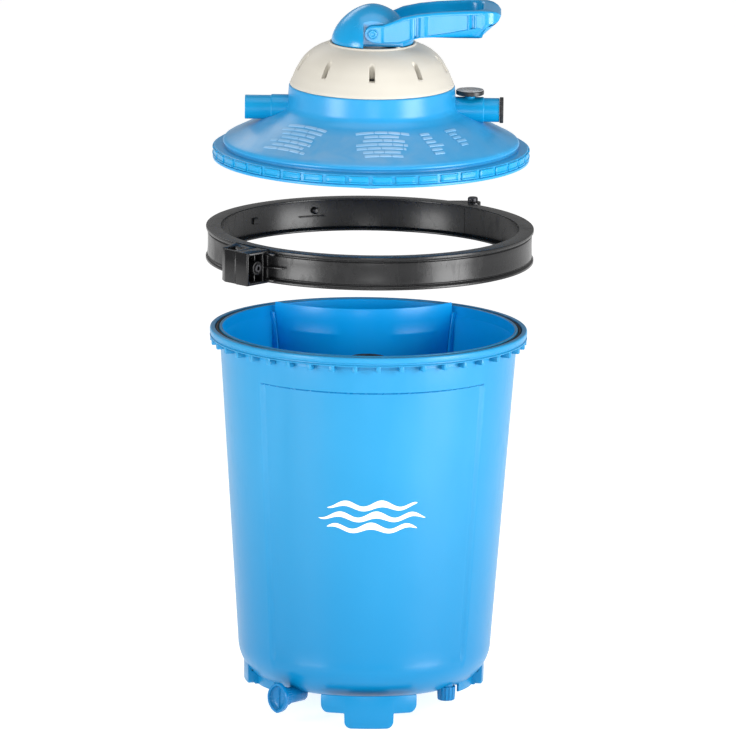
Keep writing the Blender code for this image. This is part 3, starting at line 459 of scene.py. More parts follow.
# ---------------------------------------------------------------- tank

WALL_TOP, WALL_TAPER, WALL = 0.2330, 0.0725, 0.0065
RIM_Z, FLANGE_Z = 0.606, 0.5814
TEETH = 42


def wall(z):
    return WALL_TOP - (FLANGE_Z - z) * WALL_TAPER


def quarter(centre_r, top_z, reach_r, low_z, count):
    """From the floor's edge up round the corner to the wall."""
    points = []
    for step in range(count + 1):
        angle = math.pi / 2 * step / count
        points.append((centre_r + (reach_r - centre_r) * math.sin(angle),
                       top_z - (top_z - low_z) * math.cos(angle)))
    return points


PANEL_TOP = 0.5465
PANEL_INNER, PANEL_OUTER, PANEL_DEPTH = 47.7, 50.9, 0.0046
PANEL_LEDGE = 0.0034
PANEL_FOOT, PANEL_FOOT_BLEND = 0.086, 0.022


def panel_depth(azimuth, z):
    """The recess over the tank's front, with sloping sides and a short ledge along its top."""
    away = abs((azimuth + 180.0) % 360.0 - 180.0)
    side = (PANEL_OUTER - away) / (PANEL_OUTER - PANEL_INNER)
    side = max(0.0, min(1.0, side))
    side = side * side * (3.0 - 2.0 * side)
    top = max(0.0, min(1.0, (PANEL_TOP - z) / PANEL_LEDGE))
    foot = max(0.0, min(1.0, (z - PANEL_FOOT) / PANEL_FOOT_BLEND))
    return PANEL_DEPTH * side * top * foot * foot * (3.0 - 2.0 * foot)


def panel_azimuths():
    fine = steps_between(PANEL_INNER - 0.8, PANEL_OUTER + 0.8, 12)
    plain = [a for a in even(180) if not any(abs(abs((a + 180.0) % 360.0 - 180.0) - f) < 1.1 for f in fine)]
    both = [a for a in fine] + [360.0 - a for a in fine]
    return sorted(plain + both)


def tank_body():
    outer = [(0.0, 0.042)] + quarter(0.135, 0.108, wall(0.108), 0.042, 12)
    outer += [(wall(z), z) for z in (0.125, 0.17, 0.24, 0.32, 0.40, 0.47, 0.52, 0.5400, PANEL_TOP - 0.0035,
                                     PANEL_TOP - 0.0001, PANEL_TOP + 0.0012, 0.565)]
    rim = [(WALL_TOP, 0.5780), (0.2334, 0.5905), (0.2485, 0.5908), (0.2495, 0.5918), (0.2495, 0.5928),
           (0.2474, 0.5936), (0.2474, 0.5960), (0.2495, 0.5969), (0.2495, 0.6030), (0.2489, 0.6046),
           (0.2478, 0.6056), (0.2420, 0.6058), (0.2412, 0.6048), (0.2410, 0.6002), (0.2347, 0.6002), (0.2345, 0.6052),
           (0.2339, 0.6060), (0.2307, 0.6060), (0.2295, 0.6048), (0.2293, 0.5900), (0.2262, 0.5830)]
    inner = [(wall(z) - WALL, z) for z in (0.56, 0.50, 0.40, 0.30, 0.20, 0.14)]
    inner += list(reversed(quarter(0.133, 0.1105, wall(0.1105) - WALL, 0.049, 10))) + [(0.0, 0.049)]
    profile = outer + soften(rim, 0.0009, 2, closed=False) + inner
    last_outer = len(outer)

    def shape(azimuth, index, radius, height):
        return (radius - panel_depth(azimuth, height), height) if index < last_outer else (radius, height)

    shell = lathe("tank_shell", profile, BLUE, azimuths=panel_azimuths(), shape=shape, smooth=24.0)
    # Painted light: the inner faces take a lighter copy of the blue, brightening the tank's shaded inside.
    shell.data.materials.append(SHELL_LIT_BLUE)
    shell.data.materials.append(CAP_BLUE)
    for face in shell.data.polygons:
        reach = math.hypot(face.center.x, face.center.y)
        facing = (face.normal.x * face.center.x + face.normal.y * face.center.y) / max(reach, 0.001)
        if reach < 0.2300 and face.center.z > 0.0455 and (facing < -0.3 or (face.normal.z > 0.3 and facing < 0.3)):
            face.material_index = 1
        # Painted shade: the downward faces of the panel's top ledge take the darker cap blue.
        elif face.normal.z < -0.35 and 0.54 < face.center.z < 0.56:
            face.material_index = 2
    return shell


def tank_ribs():
    """The thin ribs under the flange, with a dark band on the wall between them as painted shade."""
    pitch = 360.0 / TEETH
    half = math.degrees(0.0036 / 0.2495)
    section = [(0.2310, FLANGE_Z), (0.2484, FLANGE_Z), (0.2490, 0.5920), (0.2310, 0.5920)]
    pieces = []
    for index in range(TEETH):
        middle = pitch * index + 1.05
        pieces.append(edges(sweep("rib", section, steps_between(middle - half, middle + half, 2), BLUE), 0.0007, 2))
    # Painted shade: a dark band on the wall between the ribs, under the flange.
    band = [(0.2322, 0.5826), (0.2338, 0.5832), (0.2338, 0.5908), (0.2322, 0.5908)]
    pieces.append(lathe("gap", band, PAINTED_SHADE_BLUE, 210))
    return join("tank_rim_ribs", pieces)


FOOT_AZIMUTHS = (0.0, 145.0, -145.0)
FOOT_SKIRT_HALF, FOOT_SKIRT_LOW, FOOT_SKIRT_TOP = 23.5, 0.024, 0.0530
FOOT_HALF = 11.9
SIDE_SKIRT_AZIMUTHS = (90.0, -90.0)
SIDE_SKIRT_HALF, SIDE_SKIRT_LOW, SIDE_SKIRT_TOP = 13.0, 0.041, 0.0775


def skirt(centre, half, low, top, foot_half=0.0):
    """A curved wall under the tank's corner. With foot_half it reaches the floor in its middle.

    A top at FOOT_SKIRT_TOP ends below the corner, so that wall stands clear of the tank."""
    stops = set(steps_between(-half, half, 28))
    for edge in (half, foot_half):
        if edge:
            for offset in (0.12, 0.3, 0.55, 0.9, 1.4, 2.0, 2.6, 3.3):
                stops.update((edge - offset, -(edge - offset)))
                if edge != half:
                    stops.update((edge + offset * 0.25, -(edge + offset * 0.25)))
    rings = []
    for azimuth in sorted(stops):
        away = abs(azimuth)
        bottom = low
        near_end = (half - away) / 3.3
        if near_end < 1.0:
            bottom += (0.0105 if foot_half else 0.0060) * (1.0 - math.sqrt(max(0.0, 1.0 - (1.0 - near_end) ** 2)))
        if foot_half and away <= foot_half:
            inside = (foot_half - away) / 3.3
            corner = 0.0105 * (1.0 - math.sqrt(max(0.0, 1.0 - (1.0 - min(1.0, inside)) ** 2)))
            bottom = min(bottom, corner if inside < 1.0 else 0.0)
        elif foot_half:
            outside = max(0.0, 1.0 - (away - foot_half) / 0.65)
            bottom -= 0.002 * outside ** 2
        thick = 0.0115 if bottom > 0.02 else 0.030
        inner = top - (0.0045 if top < 0.06 else 0.0155)
        step = max(bottom + 0.0030, 0.0240) if thick > 0.02 else bottom + 0.0030
        section = [(0.1872, bottom + 0.0008), (0.1886, bottom + 0.0026), (0.1889, 0.5 * (bottom + top)),
                   (0.1890, top - 0.0022), (0.1883, top - 0.0006), (0.1868, top),
                   (0.1846, top - 0.0006), (0.1830, inner), (0.1770, inner - 0.0015), (0.1770, step + 0.0005),
                   (0.1885 - thick, step), (0.1885 - thick, bottom + 0.0010),
                   (0.1885 - thick + 0.001, bottom), (0.1860, bottom)]
        rings.append([at(centre + azimuth, r, z) for r, z in section])
    return loft("skirt", rings, BLUE, smooth=30.0)


def corner_plates():
    """The shaded plates under the tank's corner, beside the side skirts."""
    plates = []
    for centre in (-68.5, 68.5, 112.0, -112.0):
        section = soften([(0.1695, 0.0410), (0.1730, 0.0410), (0.1730, 0.0585), (0.1695, 0.0565)], 0.0008, 2)
        plates.append(sweep("plate", section, steps_between(centre - 11.5, centre + 11.5, 10), BLUE))
        edge = 78.0 if abs(centre) < 90.0 else 102.0
        middle = math.copysign(edge, centre)
        web = soften([(0.1722, 0.0412), (0.1778, 0.0412), (0.1778, 0.0600), (0.1722, 0.0570)], 0.0006, 2)
        plates.append(sweep("web", web, steps_between(middle - 1.4, middle + 1.4, 3), BLUE))
    return join("tank_corner_plates", plates)


def guide_rails():
    """Pairs of upright rails that hold the baffle's edges."""
    rails = []
    for side in (1.0, -1.0):
        for offset in (0.0006, -0.0073):
            rings = []
            for height in steps_between(0.275, 0.596, 6):
                reach = wall(height) - WALL - 0.003
                depth = (reach ** 2 - 0.194 ** 2 + 0.309 ** 2) / 0.618
                half = math.sqrt(max(1e-9, reach ** 2 - depth ** 2))
                angle = math.asin(min(1.0, half / 0.194))
                along = Vector((math.cos(angle), math.sin(angle)))
                across = Vector((math.sin(angle), -math.cos(angle)))
                end = Vector((half, 0.309 - 0.194 * math.cos(angle)))
                ring = []
                taper = 0.004 if height > 0.59 else 0.0
                for far, wide in ((-0.007 + taper, 0.0), (0.0075, 0.0), (0.0075, 0.003), (-0.007 + taper, 0.003)):
                    spot = end + along * far + across * (offset + wide)
                    ring.append((side * spot.x, spot.y, height))
                rings.append(ring)
            # The rails take the inside's lighter blue, painted light like the tank's inner faces.
            rails.append(edges(loft("rail", rings, SHELL_LIT_BLUE), 0.0006))
    return rails


def drain_boss():
    profile = soften([(0.0, 0.150), (0.0128, 0.150), (0.0128, 0.1862), (0.0, 0.1862)], 0.0008, 2, closed=False)
    level = move(lathe("boss", profile, CAP_BLUE, 48), radial_axis(-43.0, 0.0422))
    upright = lathe("boss", [(0.0, 0.0418), (0.0108, 0.0418), (0.0110, 0.066), (0.0, 0.066)], CAP_BLUE, 48)
    return [level, move(upright, Matrix.Translation(at(48.7, 0.166)))]


def waves():
    """A plain printed mark: three water waves that follow the wall."""
    bands = []
    for row, (height, half, phase) in enumerate(((0.362, 0.072, 0.0), (0.344, 0.086, 0.9), (0.326, 0.072, 1.8))):
        rings = []
        for step in range(97):
            t = step / 96.0
            s = half * (2.0 * t - 1.0)
            swell = math.sin(math.tau * (s / 0.058) + phase)
            middle = height + 0.0042 * swell
            width = 0.0048 * math.sqrt(max(0.004, math.sin(math.pi * t))) * (1.0 + 0.18 * swell)
            ring = []
            for z, raise_by in ((middle - width, 0.0001), (middle - width * 0.93, 0.0005),
                                (middle + width * 0.93, 0.0005), (middle + width, 0.0001),
                                (middle, -0.0010)):
                radius = wall(z) - PANEL_DEPTH + raise_by
                ring.append(at(math.degrees(s / radius), radius, z))
            rings.append(ring)
        bands.append(loft("wave_" + str(row), rings, MARK_WHITE, smooth=50.0))
    return join("tank_wave_mark", bands)


def build_tank():
    spin = turn(TANK_TURN)
    dress(move(tank_body(), spin), "tank", "tank_blue", "tank")
    dress(move(tank_ribs(), spin), "tank", "tank_blue")
    skirts = [skirt(azimuth, FOOT_SKIRT_HALF, FOOT_SKIRT_LOW, FOOT_SKIRT_TOP, FOOT_HALF)
              for azimuth in FOOT_AZIMUTHS]
    skirts += [skirt(azimuth, SIDE_SKIRT_HALF, SIDE_SKIRT_LOW, SIDE_SKIRT_TOP)
               for azimuth in SIDE_SKIRT_AZIMUTHS]
    dress(move(join("tank_skirts", skirts), spin), "tank", "tank_blue")
    dress(move(join("tank_guide_rails", guide_rails()), spin), "tank", "tank_blue")
    dress(move(join("tank_drain_bosses", drain_boss()), spin), "tank", "tank_blue")
    dress(move(corner_plates(), spin), "tank", "tank_blue")
    dress(move(waves(), spin), "tank", "pipe_white")


def build_baffle():
    """The curved plate with a rounded top edge and a level bead."""
    rings = []
    count = 60
    top, low = 0.612, 0.2625
    heights = ([(low, 0.0), (low, 1.0)] + [(z, 1.0) for z in (0.35, 0.45, 0.53, 0.5665, 0.5685, 0.5700, 0.5715,
                                                             0.5735, 0.590, 0.6095)]
               + [(0.6112, 0.7), (top, 0.0)])
    for step in range(count + 1):
        share = 2.0 * step / count - 1.0
        front, back = [], []
        for z, fat in heights:
            reach = wall(min(z, 0.578)) - WALL - 0.003
            depth = (reach ** 2 - 0.194 ** 2 + 0.309 ** 2) / 0.618
            half = math.asin(math.sqrt(reach ** 2 - depth ** 2) / 0.194)
            angle = half * share
            bead = 0.0007 if 0.568 < z < 0.5720 and 0.30 < abs(share) < 0.80 else 0.0
            for line, radius in ((front, 0.1925 + 0.0015 * fat + bead), (back, 0.1925 - 0.0015 * fat)):
                line.append((radius * math.sin(angle), 0.309 - radius * math.cos(angle), z))
        rings.append(front[1:] + list(reversed(back))[:-1])
    piece = loft("baffle", rings, INNER_BLUE, smooth=35.0)
    dress(move(piece, turn(TANK_TURN)), "tank", "tank_blue", "baffle_plate")


def torus(name, radius, thickness, height, material, segments=168, sides=14):
    return lathe(name, arc(thickness, 0.0, 360.0, sides, (radius, height))[:-1], material, segments, smooth=80.0)


def build_tank_inside():
    dress(torus("flange_ring", 0.2378, 0.0027, 0.6021, RUBBER), "tank", "rubber_black", "flange_o_ring")
    pipe = soften([(0.0215, 0.0803), (0.0255, 0.0803), (0.0255, 0.5440), (0.029, 0.5465), (0.029, 0.5545),
                   (0.0215, 0.5545)], 0.0010, 2)
    dress(lathe("standpipe_tube", pipe, PIPE_WHITE, 72), "tank", "pipe_white", "standpipe")
    ring = soften([(0.0217, 0.5548), (0.0288, 0.5548), (0.0288, 0.5580), (0.0217, 0.5580)], 0.0009, 2)
    dress(lathe("standpipe_ring", ring, RUBBER, 72), "tank", "rubber_black", "standpipe_seal")
    hub = soften([(0.0, 0.0495), (0.034, 0.0495), (0.034, 0.090), (0.031, 0.094), (0.0262, 0.094), (0.0262, 0.0802),
                  (0.0, 0.0802)], 0.0015, 3, closed=False)
    dress(lathe("lateral_centre", hub, PIPE_WHITE, 72), "tank", "pipe_white", "lateral_hub")
    for index in range(8):
        profile = [(0.0, 0.0340), (0.0078, 0.0340)]
        z = 0.040
        while z < 0.143:
            profile += [(0.0088, z), (0.0088, z + 0.0017), (0.0079, z + 0.0020), (0.0079, z + 0.0027),
                        (0.0088, z + 0.0030)]
            z += 0.0034
        profile += [(0.0086, 0.1455), (0.0055, 0.1498), (0.0, 0.150)]
        piece = lathe("slotted_lateral_" + str(index + 1), profile, PIPE_WHITE, 28)
        move(piece, turn(TANK_TURN) @ radial_axis(45.0 * index + 22.5, 0.066))
        dress(piece, "tank", "pipe_white", "lateral_" + str(index + 1))


# ---------------------------------------------------------------- drains

def leaf(half_width, half_height, steps):
    radius = (half_height ** 2 + half_width ** 2) / (2.0 * half_width)
    reach = math.degrees(math.asin(half_height / radius))
    right = arc(radius, -reach, reach, steps, (half_width - radius, 0.0))
    left = arc(radius, 180.0 - reach, 180.0 + reach, steps, (radius - half_width, 0.0))
    return right[:-1] + left[:-1]


def build_drains():
    spin = turn(TANK_TURN)
    place_wing = spin @ radial_axis(-43.0, 0.0422)
    start = 0.1875
    seal = soften([(0.0083, 0.1863), (0.0122, 0.1863), (0.0122, 0.1872), (0.0083, 0.1872)], 0.0003, 2)
    dress(move(lathe("wing_seal_ring", seal, RUBBER, 48), place_wing), "wing_seal", "rubber_black", "wing_cap_seal")
    body = soften([(0.0, start - 0.012), (0.0070, start - 0.012), (0.0076, start - 0.011), (0.0076, start),
                   (0.0145, start), (0.0145, start + 0.0125), (0.0125, start + 0.0165), (0.0, start + 0.0165)],
                  0.0009, 3, closed=False)

    def knurl(azimuth, index, radius, height):
        grip = 0.00045 * math.cos(math.radians(azimuth * 24.0)) if radius > 0.0135 else 0.0
        return radius + grip, height

    cap = lathe("cap_body", body, CAP_BLUE, 192, shape=knurl)
    outer, inner, floor = leaf(0.0195, 0.0242, 22), leaf(0.0152, 0.0196, 22), leaf(0.0143, 0.0186, 22)
    narrow = leaf(0.0182, 0.0228, 22)
    rings = [[(x, y, start + 0.0140) for x, y in leaf(0.0120, 0.0150, 22)],
             [(x, y, start + 0.0150) for x, y in narrow],
             [(x, y, start + 0.0160) for x, y in outer], [(x, y, start + 0.0222) for x, y in outer],
             [(x * 0.985, y * 0.985, start + 0.0232) for x, y in outer],
             [(x * 1.04, y * 1.04, start + 0.0232) for x, y in inner], [(x, y, start + 0.0222) for x, y in inner],
             [(x, y, start + 0.0175) for x, y in floor], [(x * 0.5, y * 0.5, start + 0.0170) for x, y in floor]]
    grip = loft("leaf", rings, CAP_BLUE, smooth=40.0)
    # Painted highlight: the leaf's top edges take the lighter port blue, and the centre stays deep blue.
    grip.data.materials.append(PORT_BLUE)
    for face in grip.data.polygons:
        if face.center.z > start + 0.0215:
            face.material_index = 1
    move(grip, Matrix.Rotation(math.pi / 2, 4, "Z"))
    rib = prism("rib", soften([(-0.0170, -0.0014), (0.0170, -0.0014), (0.0170, 0.0014), (-0.0170, 0.0014)], 0.001, 2),
                start + 0.0165, start + 0.0186, CAP_BLUE)
    piece = move(join("wing_cap", [cap, grip, edges(rib, 0.0005)]), place_wing)
    dress(piece, "wing_cap", "cap_blue", "drain_wing_cap")

    place_plug = spin @ Matrix.Translation(at(48.7, 0.166))
    seal = soften([(0.0079, 0.0405), (0.0107, 0.0405), (0.0107, 0.0416), (0.0079, 0.0416)], 0.0004, 2)
    dress(move(lathe("plug_seal_ring", seal, RUBBER, 48), place_plug), "plug_ring", "rubber_black", "plug_seal")
    profile = soften([(0.0, 0.0315), (0.0118, 0.0315), (0.0136, 0.0330), (0.0142, 0.0420), (0.0146, 0.0520),
                      (0.0146, 0.0535), (0.0118, 0.0535), (0.0118, 0.0402), (0.0076, 0.0402), (0.0076, 0.0518),
                      (0.0, 0.0518)], 0.0007, 3, closed=False)

    def flutes(azimuth, index, radius, height):
        if radius < 0.0120 or height > 0.0528:
            return radius, height
        wave = math.cos(math.radians(azimuth * 14.0))
        return radius - 0.0014 * max(0.0, -wave) ** 0.6, height

    dress(move(lathe("fluted_plug", profile, CAP_BLUE, 224, shape=flutes), place_plug), "plug", "cap_blue",
          "drain_plug")


# ---------------------------------------------------------------- clamp

SPLIT, HINGE = -43.5, 143.5
HALF = 0.026


def band_section():
    ring = [(0.2345, HALF), (0.2575, HALF), (0.2575, 0.0220), (0.2566, 0.0208), (0.2538, 0.0200), (0.2536, 0.0184),
            (0.2549, 0.0168), (0.2545, 0.0080), (0.2544, 0.0), (0.2546, -0.0100), (0.2550, -0.0168),
            (0.2538, -0.0184), (0.2540, -0.0194), (0.2558, -0.0204), (0.2575, -0.0222), (0.2575, -HALF),
            (0.2345, -HALF), (0.2345, -0.0228), (0.2503, -0.0222), (0.2503, 0.0222), (0.2345, 0.0228)]
    return soften(ring, 0.0008, 3, sharp=0.2)


def band(name, start, end):
    gap = math.degrees(0.0004 / 0.2575)
    return sweep(name, band_section(), steps_between(start + gap, end - gap, 150), CHARCOAL, smooth=42.0)


def tangent_axis(radius):
    return Matrix.Translation((radius, 0.0, 0.0)) @ Matrix.Rotation(-math.pi / 2, 4, "X")


def slab(low, high, material=CHARCOAL):
    outline = [(low[0], low[1]), (high[0], low[1]), (high[0], high[1]), (low[0], high[1])]
    return prism("slab", outline, low[2], high[2], material)


def knuckle(low, high, side):
    tube = soften([(0.0053, low), (0.0125, low), (0.0125, high), (0.0053, high)], 0.0008, 2)
    eye = lathe("eye", tube, CHARCOAL, 56)
    move(eye, Matrix.Translation((0.272, 0.0, 0.0)))
    outline = [(0.2530, 0.0006 * side), (0.2500, 0.038 * side), (0.2560, 0.038 * side), (0.2700, 0.0215 * side),
               (0.2806, 0.0090 * side), (0.2835, 0.0030 * side), (0.2790, 0.0006 * side)]
    leaf_piece = edges(prism("leaf", outline, low + 0.0004, high - 0.0004, CHARCOAL), 0.0009)
    hole = prism("hole", [(0.272 + x, y) for x, y in arc(0.0053, 0.0, 360.0, 32)[:-1]], low - 0.01, high + 0.01)
    boolean(leaf_piece, hole)
    return [eye, leaf_piece]


def build_clamp():
    up = lift(CLAMP_Z)
    rear = band("rear_band", HINGE, SPLIT + 360.0)
    lug = prism("lug", soften([(0.2515, -0.0004), (0.3020, -0.0004), (0.3020, -0.0250), (0.2925, -0.0400),
                               (0.2485, -0.0530)], 0.0030, 4), -HALF, HALF, CHARCOAL)
    recess = slab((0.2700, -0.0330, 0.0150), (0.2960, -0.0100, 0.0300), None)
    boolean(lug, recess)
    boolean(lug, move(prism("hole", arc(0.0081, 0.0, 360.0, 6)[:-1], -0.0082, 0.004), tangent_axis(0.280)))
    boolean(lug, move(prism("hole", arc(0.0043, 0.0, 360.0, 32)[:-1], -0.016, 0.004), tangent_axis(0.280)))
    pieces = [rear, move(edges(lug, 0.0009, 2), outward(SPLIT))]
    for low, high in ((-HALF, -0.010), (0.010, HALF)):
        pieces += [move(part, outward(HINGE)) for part in knuckle(low, high, 1.0)]
    pads = [sweep("ledge", soften([(0.2460, -0.0046), (0.2506, -0.0046), (0.2506, -0.0030), (0.2460, -0.0030)],
                                  0.0004, 2), steps_between(-163.2, -153.6, 12), CHARCOAL),
            sweep("arch", soften([(0.2475, -0.0060), (0.2506, -0.0060), (0.2506, 0.0040), (0.2475, 0.0040)], 0.0012, 3),
                  steps_between(-134.6, -132.4, 4), CHARCOAL)]
    stud = lathe("stud", soften([(0.0, 0.2440), (0.0036, 0.2440), (0.0056, 0.2462), (0.0056, 0.2505), (0.0, 0.2505)],
                                0.0008, 3, closed=False), CHARCOAL, 32)
    studs = [move(stud, radial_axis(-159.5, 0.0052))]
    dress(move(join("clamp_rear_band", pieces + pads + studs), up), "clamp_rear", "clamp_charcoal",
          "clamp_half_rear")

    front = band("front_band", SPLIT, HINGE)
    lug = prism("lug", soften([(0.2515, 0.0004), (0.3040, 0.0004), (0.3040, 0.0260), (0.2515, 0.0260)],
                              lambda index: (0.0005, 0.0012, 0.0022, 0.0005)[index], 4), -HALF, HALF, CHARCOAL)
    mouth = soften([(0.2590, -0.0218), (0.3008, -0.0218), (0.3008, 0.0218), (0.2590, 0.0218)], 0.0070, 6)
    boolean(lug, move(prism("pocket", mouth, 0.0060, 0.0400), tangent_axis(0.0)))
    boss = lathe("boss", soften([(0.0068, 0.0045), (0.0107, 0.0045), (0.0107, 0.0250), (0.0068, 0.0250)], 0.0007, 3),
                 CHARCOAL, 56)
    boolean(lug, move(prism("hole", arc(0.0043, 0.0, 360.0, 32)[:-1], -0.010, 0.020), tangent_axis(0.280)))
    webs = [slab((0.2672, 0.0050, -0.0222), (0.2694, 0.0258, 0.0222)),
            slab((0.2575, 0.0050, -0.0013), (0.2680, 0.0250, 0.0013)),
            slab((0.2786, 0.0050, 0.0100), (0.2814, 0.0190, 0.0225)),
            slab((0.2786, 0.0050, -0.0225), (0.2814, 0.0190, -0.0100)),
            slab((0.2495, 0.0250, -0.0225), (0.2640, 0.0400, -0.0190)),
            slab((0.2495, 0.0250, 0.0190), (0.2640, 0.0400, 0.0225))]
    parts = [edges(lug, 0.0008, 2), move(boss, tangent_axis(0.280))] + [edges(web, 0.0005) for web in webs]
    gusset = prism("gusset", soften([(0.2540, 0.0200), (0.2660, 0.0255), (0.2560, 0.0560), (0.2530, 0.0560)], 0.001, 2),
                   -0.0012, 0.0012, CHARCOAL)
    parts.append(edges(gusset, 0.0004))
    pieces = [front] + [move(part, outward(SPLIT)) for part in parts]
    pieces += [move(part, outward(HINGE)) for part in knuckle(-0.0095, 0.0095, -1.0)]
    dress(move(join("clamp_front_band", pieces), up), "clamp_front", "clamp_charcoal", "clamp_half_front")

    def ribs(azimuth, index, radius, height):
        return radius - (0.0007 * (math.cos(math.radians(azimuth * 16.0)) < 0.0) if radius > 0.0072 else 0.0), height

    pin = lathe("band_pin", soften([(0.0, -0.0280), (0.005, -0.0280), (0.005, 0.0263), (0.008, 0.0263), (0.008, 0.0320),
                                    (0.0065, 0.0335), (0.0, 0.0335)], 0.0005, 2, closed=False), DARK_STEEL, 128,
                shape=ribs)
    dress(move(pin, up @ Matrix.Translation(at(HINGE, 0.272))), "clamp_rear", "fixing_steel", "hinge_pin")
    axis = up @ outward(SPLIT) @ tangent_axis(0.280)
    nut = edges(prism("hexagon_nut", arc(0.0075, 0.0, 360.0, 6)[:-1], -0.0075, -0.0012, STEEL), 0.0005)
    dress(move(nut, axis), "clamp_rear", "fixing_steel", "insert_nut")
    out = 0.0112
    washer = soften([(0.0043, 0.0063 + out), (0.0064, 0.0063 + out), (0.0064, 0.0075 + out),
                     (0.0043, 0.0075 + out)], 0.0002, 2)
    dress(move(lathe("flat_washer", washer, DARK_STEEL, 40), axis), "bolt_carrier", "fixing_steel", "bolt_washer")
    head = 0.0078 + out
    profile = [(0.0, head - 0.0178), (0.0034, head - 0.0178)]
    z = head - 0.0172
    while z < head - 0.0016:
        profile += [(0.0036, z), (0.0040, z + 0.0005)]
        z += 0.00125
    profile += [(0.0040, head - 0.0008), (0.0040, head), (0.0064, head), (0.0064, head + 0.0072),
                (0.0058, head + 0.0080), (0.0035, head + 0.0080), (0.0032, head + 0.0076), (0.0032, head + 0.0035),
                (0.0, head + 0.0030)]

    def grip(azimuth, index, radius, height):
        knurled = 0.00015 * math.cos(math.radians(azimuth * 30.0)) if radius > 0.0062 else 0.0
        if 0.0028 < radius < 0.0034 and height > head + 0.001:
            radius = 0.0030 / math.cos(math.radians((azimuth + 30.0) % 60.0 - 30.0))
        return radius + knurled, height

    bolt = lathe("socket_bolt", profile, DARK_STEEL, 120, shape=grip)
    dress(move(bolt, axis), "bolt", "fixing_steel", "clamp_bolt")


# ---------------------------------------------------------------- lid

PORT_Z = 0.080


def dish(radius):
    """Height of the dish's upper face at a radius, above the lid's lower face."""
    return 0.0795 - (radius - 0.136) * 0.5028


def lid_body():
    outer = [(0.0945, 0.118), (0.1290, 0.118), (0.1303, 0.1165), (0.1312, 0.104), (0.1325, 0.0865), (0.1365, 0.0795)]
    outer = soften(outer, lambda index: 0.0012 if index < 4 else 0.0040, 5, closed=False)
    slope = [(r, dish(r)) for r in (0.150, 0.170, 0.190, 0.210)]
    rim = soften([(0.2255, 0.0345), (0.2300, 0.0318), (0.2325, 0.0284), (0.2325, 0.0252), (0.2298, 0.0246),
                  (0.2298, 0.0200), (0.2452, 0.0200),
                  (0.2464, 0.0190), (0.2464, 0.0160), (0.2454, 0.0150), (0.2454, 0.0050), (0.2486, 0.0044),
                  (0.2486, 0.0008), (0.2478, 0.0), (0.2275, 0.0), (0.2275, 0.0240), (0.2215, 0.0305)],
                 0.0013, 3, closed=False)
    under = soften([(0.1330, 0.0735), (0.1260, 0.0780), (0.1260, 0.1120), (0.0980, 0.1120), (0.0980, 0.0560),
                    (0.0300, 0.0560), (0.0300, -0.0430), (0.0250, -0.0430), (0.0250, 0.0620), (0.0940, 0.0620)],
                   0.0015, 3, closed=False)
    return lathe("lid_dome", outer + slope + rim + under, LID_BLUE, 210, smooth=32.0)


def rim_blocks():
    """The blocks between the thin gaps round the rim, each framed by a fine step, with a dark band behind the gaps as
    painted shade.
    """
    pieces = []
    pitch = 360.0 / 42
    for index in range(42):
        start = pitch * index + math.degrees(0.0032 / 0.2486)
        end = pitch * (index + 1) - math.degrees(0.0032 / 0.2486)
        section = [(0.2440, 0.0058), (0.2484, 0.0058), (0.2491, 0.0064), (0.2491, 0.0080), (0.2476, 0.0088),
                   (0.2476, 0.0148), (0.2491, 0.0156), (0.2491, 0.0172), (0.2484, 0.0180), (0.2440, 0.0180)]
        pieces.append(edges(sweep("block", section, steps_between(start, end, 5), PORT_BLUE), 0.0005, 2))
    # Painted shade: a dark band behind the blocks, seen through the gaps.
    band = [(0.2440, 0.0052), (0.2460, 0.0052), (0.2460, 0.0186), (0.2440, 0.0186)]
    pieces.append(lathe("gap", band, PAINTED_SHADE_BLUE, 210))
    return join("lid_rim_blocks", pieces)


def hose_port(azimuth, steps, name):
    """A stepped tube with a rounded mouth; steps are (radius, end) pairs from the valve outwards."""
    profile = [(0.0150, 0.0900), (0.0204, 0.0900)]
    start = 0.0900
    for radius, end in steps:
        profile += [(radius, start + 0.0002), (radius, end)]
        start = end
    profile += [(0.0150, start)]
    tube = lathe(name, soften(profile, 0.0012, 3), PORT_BLUE, 88)
    return move(tube, radial_axis(azimuth, PORT_Z))


def raised_marks():
    """Four blocks of plain raised bars on the dish, in place of moulded instructions."""
    random.seed(11)
    bars = []

    def bar(x, y, direction, length, width):
        rings = []
        count = 5
        across = Vector((-direction.y, direction.x))
        for step in range(count + 1):
            t = step / count
            pinch = 1.0 if 0 < step < count else 0.85
            centre = Vector((x, y)) + direction * length * (t - 0.5)
            ring = []
            for side, height in ((-1.0, -0.0006), (-0.85, 0.0009), (0.85, 0.0009), (1.0, -0.0006)):
                spot = centre + across * width * side * 0.5 * pinch
                ring.append((spot.x, spot.y, dish(spot.length) + height))
            rings.append(ring)
        bars.append(loft("bar", rings, TEXT_BLUE, smooth=60.0))

    # azimuth and radius of the block's middle, width, rows, pitch, and whether the rows start on one line
    blocks = ((-40.5, 0.1815, 0.094, 7, 0.0092, False), (5.5, 0.1810, 0.084, 7, 0.0088, False),
              (32.6, 0.1850, 0.0270, 6, 0.0088, True), (49.8, 0.1790, 0.0260, 5, 0.0082, True))
    for azimuth, radius, width, rows, pitch, aligned in blocks:
        centre = at(azimuth, radius).to_2d()
        direction = Vector((math.cos(math.radians(azimuth)), math.sin(math.radians(azimuth))))
        across = Vector((direction.y, -direction.x))
        for row in range(rows):
            base = centre + across * pitch * (row - (rows - 1) / 2)
            reach = width * random.uniform(0.55 if aligned else 0.66, 1.0)
            travel = -width / 2 if aligned else -reach / 2 + random.uniform(-0.004, 0.004)
            end = travel + reach
            while travel < end - 0.004:
                length = min(random.uniform(0.014, 0.034), end - travel)
                spot = base + direction * (travel + length / 2)
                if 0.142 < spot.length < 0.220:
                    bar(spot.x, spot.y, direction, length, 0.0050)
                travel += length + 0.0013
    return join("lid_raised_bars", bars)


